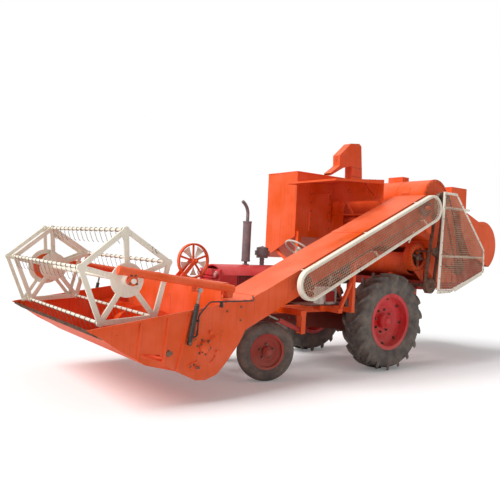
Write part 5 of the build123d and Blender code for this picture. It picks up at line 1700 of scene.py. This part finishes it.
DRUM = (-723.0, 2467.0)
DRUM_RADIUS = 285.0
FAN = (-575.0, 1604.0)
FAN_FACE = 880


def roof_line(y):
    """The rear and front ends of the sun roof's top, at a distance to the left."""
    return at(-90, y, 2712), at(880, y, 2629)


class HARVESTER_OT_thresher(bpy.types.Operator):
    """Makes the cleaning shoe, belts, bands of the drum, fan's ring, tank's rim and rows of rivets"""

    bl_idname = "harvester.thresher"
    bl_label = "Threshing unit and tank"

    def execute(self, context):
        pitch = context.scene.harvester_sizes.rivet_pitch
        self.shoe()
        self.belts()
        self.drum(pitch)
        self.fan()
        self.tank(pitch)
        self.hood_and_roof(pitch)
        return {"FINISHED"}

    def shoe(self):
        """The cleaning shoe under the body, with its swages, its hangers and the chute behind it, and
        the latch rail of the rear guard."""
        bm = bmesh.new()
        knee = -1366  # the shoe's floor rises behind it
        rim = ((-545, 1262), (-535, 1140), (-800, 1130), (knee, 1135), (-1740, 1265))
        rim += ((-1740, 1640), (-1440, 1690), (-1440, 1262))
        prism(bm, rim, (-820, 930), 6)
        cheek = ((-1700, 1251), (-2190, 1425), (-2190, 1520), (-2120, 1560), (-1700, 1640))
        for y in ((-828, -814), (924, 936)):
            prism(bm, cheek, y, 2)
        prism(bm, ((-1700, 1251), (-2190, 1425), (-2190, 1435), (-1700, 1261)), (-815, 925), 2)
        for n in range(11):
            x = -640 - 130 * n
            low = 1140 + max(0, knee - x) * 0.352
            flat_bar(bm, at(x, 934, low + 20), at(x, 934, low + 100), 22, 10)
        for x, low in ((-700, 1190), (-1340, 1200)):
            flat_bar(bm, at(x, 962, low), at(x + 40, 962, low + 330), 36, 8)
            turned(bm, at(x, 925, low), ACROSS, [(0, 26), (40, 26), (44, 16), (52, 14)], 20)
        piece("cleaning_shoe", bm, "primer", "chassis")
        bm = bmesh.new()
        flat_bar(bm, at(-880, 1311, 1163), at(-1560, 1311, 1411), 56, 8)
        for x, z in ((-940, 1185), (-1500, 1389)):
            flat_bar(bm, at(x, 1317, z - 24), at(x, 1317, z + 24), 20, 5)
        piece("guard_latch_rail", bm, "cream", "chassis")

    def belts(self):
        """Idlers and the fan's belt behind the rear guard."""
        bm, iron = bmesh.new(), bmesh.new()
        for (ax, az, ar), (bx, bz, br), y in (
            ((-560, 1700, 60), (-1150, 1480, 110), 1180.0),
            ((-723, 2467, 80), (-1150, 1480, 90), 1205.0),
        ):
            size = hypot(bx - ax, bz - az)
            nx, nz = -(bz - az) / size, (bx - ax) / size
            for side in (1, -1):
                a = at(ax + side * nx * ar, y, az + side * nz * ar)
                b = at(bx + side * nx * br, y, bz + side * nz * br)
                flat_bar(bm, a, b, 10, 20)
            for x, z, r in ((ax, az, ar), (bx, bz, br)):
                sheave = [(-14, r), (-12, r + 2), (-8, r - 10), (8, r - 10), (12, r + 2), (14, r)]
                turned(iron, at(x, y, z), ACROSS, sheave + [(14, 20), (-14, 20)], 40, loop=True)
        tube(iron, [at(-1150, 960, 1480), at(-1150, 1225, 1480)], 16, 16)
        tube(iron, [at(-560, 880, 1700), at(-560, 1195, 1700)], 14, 16)
        piece("rear_belts", bm, "belt", "chassis")
        piece("rear_pulleys", iron, "rusty", "chassis")

    def drum(self, pitch):
        bm = bmesh.new()
        for y in (-1040, -560, -40, 500, 1000):
            strap(bm, at(DRUM[0], y, DRUM[1]), ACROSS, DRUM_RADIUS, 22, 72)
        end = at(DRUM[0], 1030, DRUM[1])
        turned(bm, end, ACROSS, [(0, 272), (5, 272), (8, 268), (8, 246), (0, 244)], 72, loop=True)
        turned(bm, end, ACROSS, [(0, 88), (14, 88), (20, 70), (44, 52), (46, 34)], 32)
        turned(bm, at(DRUM[0], -1050, DRUM[1]), (0, -1, 0), [(0, 88), (14, 88), (20, 70), (40, 40)], 32)
        piece("drum_bands", bm, "orange", "chassis")
        spots = around(*DRUM, 1038, 258, 20) + around(*DRUM, 1044, 76, 6)
        bolts("drum_bolts", "chassis", spots, 17, 8)
        spots = []
        for angle in (radians(5), radians(38), radians(70)):
            x, z = DRUM[0] + DRUM_RADIUS * cos(angle), DRUM[1] + DRUM_RADIUS * sin(angle)
            spots += along_edge(at(x, -1040, z), at(x, 1015, z), pitch, (cos(angle), 0, sin(angle)))
        rivets("drum_rivets", "chassis", spots)

    def fan(self):
        """The fan's ring with its bolts, the bridge of its bearing, and the stays beside it."""
        y = FAN_FACE
        bm = bmesh.new()
        turned(bm, at(FAN[0], y, FAN[1]), ACROSS, [(0, 204), (7, 204), (7, 136), (0, 136)], 64, loop=True)
        piece("fan_ring", bm, "orange", "chassis")
        bm = bmesh.new()
        for turn in (0, pi / 2):
            for arm in (0, pi):
                a = turn + arm + 0.25
                inner_x, inner_z = FAN[0] + 40 * cos(a), FAN[1] + 40 * sin(a)
                outer_x, outer_z = FAN[0] + 150 * cos(a), FAN[1] + 150 * sin(a)
                flat_bar(bm, at(inner_x, y + 12, inner_z), at(outer_x, y + 12, outer_z), 26, 8)
        turned(bm, at(FAN[0], y + 2, FAN[1]), ACROSS, [(0, 52), (16, 52), (20, 44), (34, 32), (36, 20)], 28)
        piece("fan_bearing_bridge", bm, "rusty", "chassis")
        spots = around(*FAN, y + 7, 188, 24) + around(*FAN, y + 18, 44, 4, 1, 0.5)
        bolts("fan_bolts", "chassis", spots, 16, 7)
        bm = bmesh.new()
        flat_bar(bm, at(-433, 900, 1982), at(-321, 900, 1811), 24, 8)
        for shift in (0, 22):
            flat_bar(bm, at(-730, 905 + shift, 1090), at(-1001, 905 + shift, 1151), 18, 8)
        piece("fan_stays", bm, "cream", "chassis")

    def tank(self, pitch):
        x0, x1, y0, y1, top = -350.0, 680.0, -1150.0, -450.0, 2822.0
        bm = bmesh.new()
        rim = [at(x0, y0, top), at(x1, y0, top), at(x1, y1, top), at(x0, y1, top)]
        tube(bm, [p - Vector((0, 0, 0.004)) for p in rim], 9, 10, loop=True)
        for x in (x0, x1):
            way = 1 if x == x1 else -1
            for y in (y0, y1):
                side = -1 if y == y0 else 1
                low = 1495 if y == y0 else 1842
                span = sorted((x, x - way * 34))
                box(bm, span, sorted((y, y + side * 3)), (low, top - 10), 1)
        piece("tank_rim", bm, "orange", "chassis")
        spots = []
        for x in (x0 + 17, x1 - 17):
            spots += along_edge(at(x, y1 + 3, 1850), at(x, y1 + 3, top - 20), pitch, ACROSS)
        for z in (1850, top - 26):
            spots += along_edge(at(x0, y1, z), at(x1, y1, z), pitch, ACROSS)
            spots += along_edge(at(x1, y0, z if z > 2000 else 1560), at(x1, y1, z), pitch, FORWARD)
        for y in (y0 + 14, y1 - 14):
            spots += along_edge(at(x1, y, 1850), at(x1, y, top - 20), pitch, FORWARD)
        rivets("tank_rivets", "chassis", spots)
        spots = []
        for x in (-5, 392):
            spots += along_edge(at(x, y1 + 24, 1950), at(x, y1 + 24, 2530), 0.14, ACROSS)
        bolts("tank_rib_bolts", "chassis", spots, 16, 7)
        spots = []
        for z in (2600, 2900, 3050):
            rear = at(-905 + (z - 2450) * 0.005, -600, z)
            spots += along_edge(rear, at(-660, -600, z), 0.06, ACROSS, 0.015)
        bolts("elevator_bolts", "chassis", spots, 13, 5)

    def hood_and_roof(self, pitch):
        spots = []
        for y in (365, 1065):
            spots += along_edge(at(-1420, y, 2330), at(-1800, y, 2195), pitch, (-0.33, 0, 0.94))
        rivets("hood_rivets", "chassis", spots)
        spots = []
        for y in (-430, 60, 560):
            spots += along_edge(*roof_line(y), pitch * 1.5, (0.085, 0, 1))
        spots += along_edge(at(-90, 580, 2700), at(880, 580, 2622), pitch * 1.5, ACROSS)
        rivets("roof_rivets", "chassis", spots)
        bm = bmesh.new()
        for y in (-200, 60, 320):
            flat_bar(bm, *roof_line(y), 5, 26)
        piece("roof_swages", bm, "orange", "chassis")


# Stage


class HARVESTER_OT_stage(bpy.types.Operator):
    """Makes the camera, the lamps, the white surroundings and the floor"""

    bl_idname = "harvester.stage"
    bl_label = "Set the stage"

    def execute(self, context):
        settings = context.scene.harvester_stage
        make_camera(context.scene)
        make_world(context.scene, settings.sky)
        key = bpy.data.lights.new("key_light", "SUN")
        key.energy, key.angle = settings.key_strength, radians(SUN_ANGLE)
        fill = bpy.data.lights.new("fill_light", "AREA")
        fill.energy, fill.size = settings.fill_power, FILL_SIZE
        for lamp, place in ((key, (8.0, -0.6, 9.0)), (fill, (3.0, 11.0, 4.0))):
            made = bpy.data.objects.new(lamp.name, lamp)
            context.scene.collection.objects.link(made)
            made.location = place
            made.rotation_euler = (LIGHT_AIM - Vector(place)).to_track_quat("-Z", "Y").to_euler()
        make_floor(context.scene, settings.floor_size)
        context.scene.view_settings.view_transform = "Standard"
        return {"FINISHED"}


LIGHT_AIM = Vector((0.5, 0, 1.0))
SUN_ANGLE = 34  # degrees across, for soft shadows
FILL_SIZE = 6.0
FLOOR_GREY = 0.88
FLOOR_GLOW = 0.14
CAMERA_AT = (5.3325, 6.2186, 1.6836)
CAMERA_AIM = (-0.59985, -0.80004, -0.01064)
CAMERA_ROLL = 2.7996  # degrees
CAMERA_LENS = 41.78  # for a sensor 36 mm wide


def make_camera(scene):
    """The photograph's viewpoint."""
    data = bpy.data.cameras.new("camera")
    data.lens, data.sensor_width = CAMERA_LENS, 36.0
    data.clip_end = 200
    camera = bpy.data.objects.new("camera", data)
    scene.collection.objects.link(camera)
    ahead = Vector(CAMERA_AIM).normalized()
    level = ahead.cross(Vector(UPWARD)).normalized()
    above = level.cross(ahead)
    roll = radians(CAMERA_ROLL)
    right = level * cos(roll) + above * sin(roll)
    up = above * cos(roll) - level * sin(roll)
    turn = Matrix((right, up, -ahead)).transposed().to_4x4()
    camera.matrix_world = Matrix.Translation(CAMERA_AT) @ turn
    scene.camera = camera


def make_world(scene, sky):
    """Even pale light for the object, and pure white where the camera, gloss or glass sees it."""
    world = bpy.data.worlds.new("studio")
    world.use_nodes = True
    tree = world.node_tree
    tree.nodes.clear()
    path = add(tree, "ShaderNodeLightPath")
    seen = path.outputs["Is Camera Ray"]
    for ray in ("Is Glossy Ray", "Is Transmission Ray"):
        seen = add(tree, "ShaderNodeMath", {0: seen, 1: path.outputs[ray]}, operation="MAXIMUM").outputs[0]
    strength = add(tree, "ShaderNodeMapRange", {"Value": seen, "To Min": sky, "To Max": 1.0})
    back = add(tree, "ShaderNodeBackground", {"Color": (1, 1, 1, 1), "Strength": strength.outputs[0]})
    out = add(tree, "ShaderNodeOutputWorld")
    tree.links.new(back.outputs[0], out.inputs[0])
    scene.world = world


def make_floor(scene, size):
    """A pale floor that keeps a soft shadow and meets the white surroundings."""
    material, tree, out = new_material("floor_pale")
    path = add(tree, "ShaderNodeLightPath")
    pale = add(tree, "ShaderNodeBsdfDiffuse", {"Color": rgba((FLOOR_GREY,) * 3)})
    glow = add(tree, "ShaderNodeEmission", {"Color": (1, 1, 1, 1), "Strength": FLOOR_GLOW})
    both = add(tree, "ShaderNodeAddShader", {0: pale.outputs[0], 1: glow.outputs[0]})
    from_camera = path.outputs["Is Camera Ray"]
    mixed = add(tree, "ShaderNodeMixShader", {0: from_camera, 1: pale.outputs[0], 2: both.outputs[0]})
    tree.links.new(mixed.outputs[0], out.inputs[0])
    half = size / 2
    corners = [(-half, -half, 0), (half, -half, 0), (half, half, 0), (-half, half, 0)]
    mesh = bpy.data.meshes.new("floor")
    mesh.from_pydata(corners, [], [(0, 1, 2, 3)])
    mesh.materials.append(material)
    floor = bpy.data.objects.new("floor", mesh)
    scene.collection.objects.link(floor)


# Panel and registering

STEPS = (
    HARVESTER_OT_stage,
    HARVESTER_OT_paint,
    HARVESTER_OT_trees,
    HARVESTER_OT_tyres,
    HARVESTER_OT_guards,
    HARVESTER_OT_reel,
    HARVESTER_OT_header,
    HARVESTER_OT_driver,
    HARVESTER_OT_tractor,
    HARVESTER_OT_thresher,
)


class HARVESTER_PT_sidebar(bpy.types.Panel):
    """Lists the steps, colours and sizes of the harvester"""

    bl_label = "Harvester"
    bl_space_type = "VIEW_3D"
    bl_region_type = "UI"
    bl_category = "Harvester"

    def draw(self, context):
        for step in STEPS:
            self.layout.operator(step.bl_idname)
        scene = context.scene
        for group in (scene.harvester_paint, scene.harvester_sizes, scene.harvester_stage):
            for name in group.__annotations__:
                self.layout.prop(group, name)


CLASSES = (HarvesterPaint, HarvesterSizes, HarvesterStage, *STEPS, HARVESTER_PT_sidebar)


def register():
    for made in CLASSES:
        bpy.utils.register_class(made)
    bpy.types.Scene.harvester_paint = bpy.props.PointerProperty(type=HarvesterPaint)
    bpy.types.Scene.harvester_sizes = bpy.props.PointerProperty(type=HarvesterSizes)
    bpy.types.Scene.harvester_stage = bpy.props.PointerProperty(type=HarvesterStage)


def unregister():
    del bpy.types.Scene.harvester_paint
    del bpy.types.Scene.harvester_sizes
    del bpy.types.Scene.harvester_stage
    for made in reversed(CLASSES):
        bpy.utils.unregister_class(made)


def main():
    register()
    bpy.ops.harvester.stage()
    bpy.ops.harvester.paint()
    bpy.ops.harvester.trees()
    bpy.ops.harvester.tyres()
    bpy.ops.harvester.guards()
    bpy.ops.harvester.reel()
    bpy.ops.harvester.header()
    bpy.ops.harvester.driver()
    bpy.ops.harvester.tractor()
    bpy.ops.harvester.thresher()


if __name__ == "__main__":
    main()
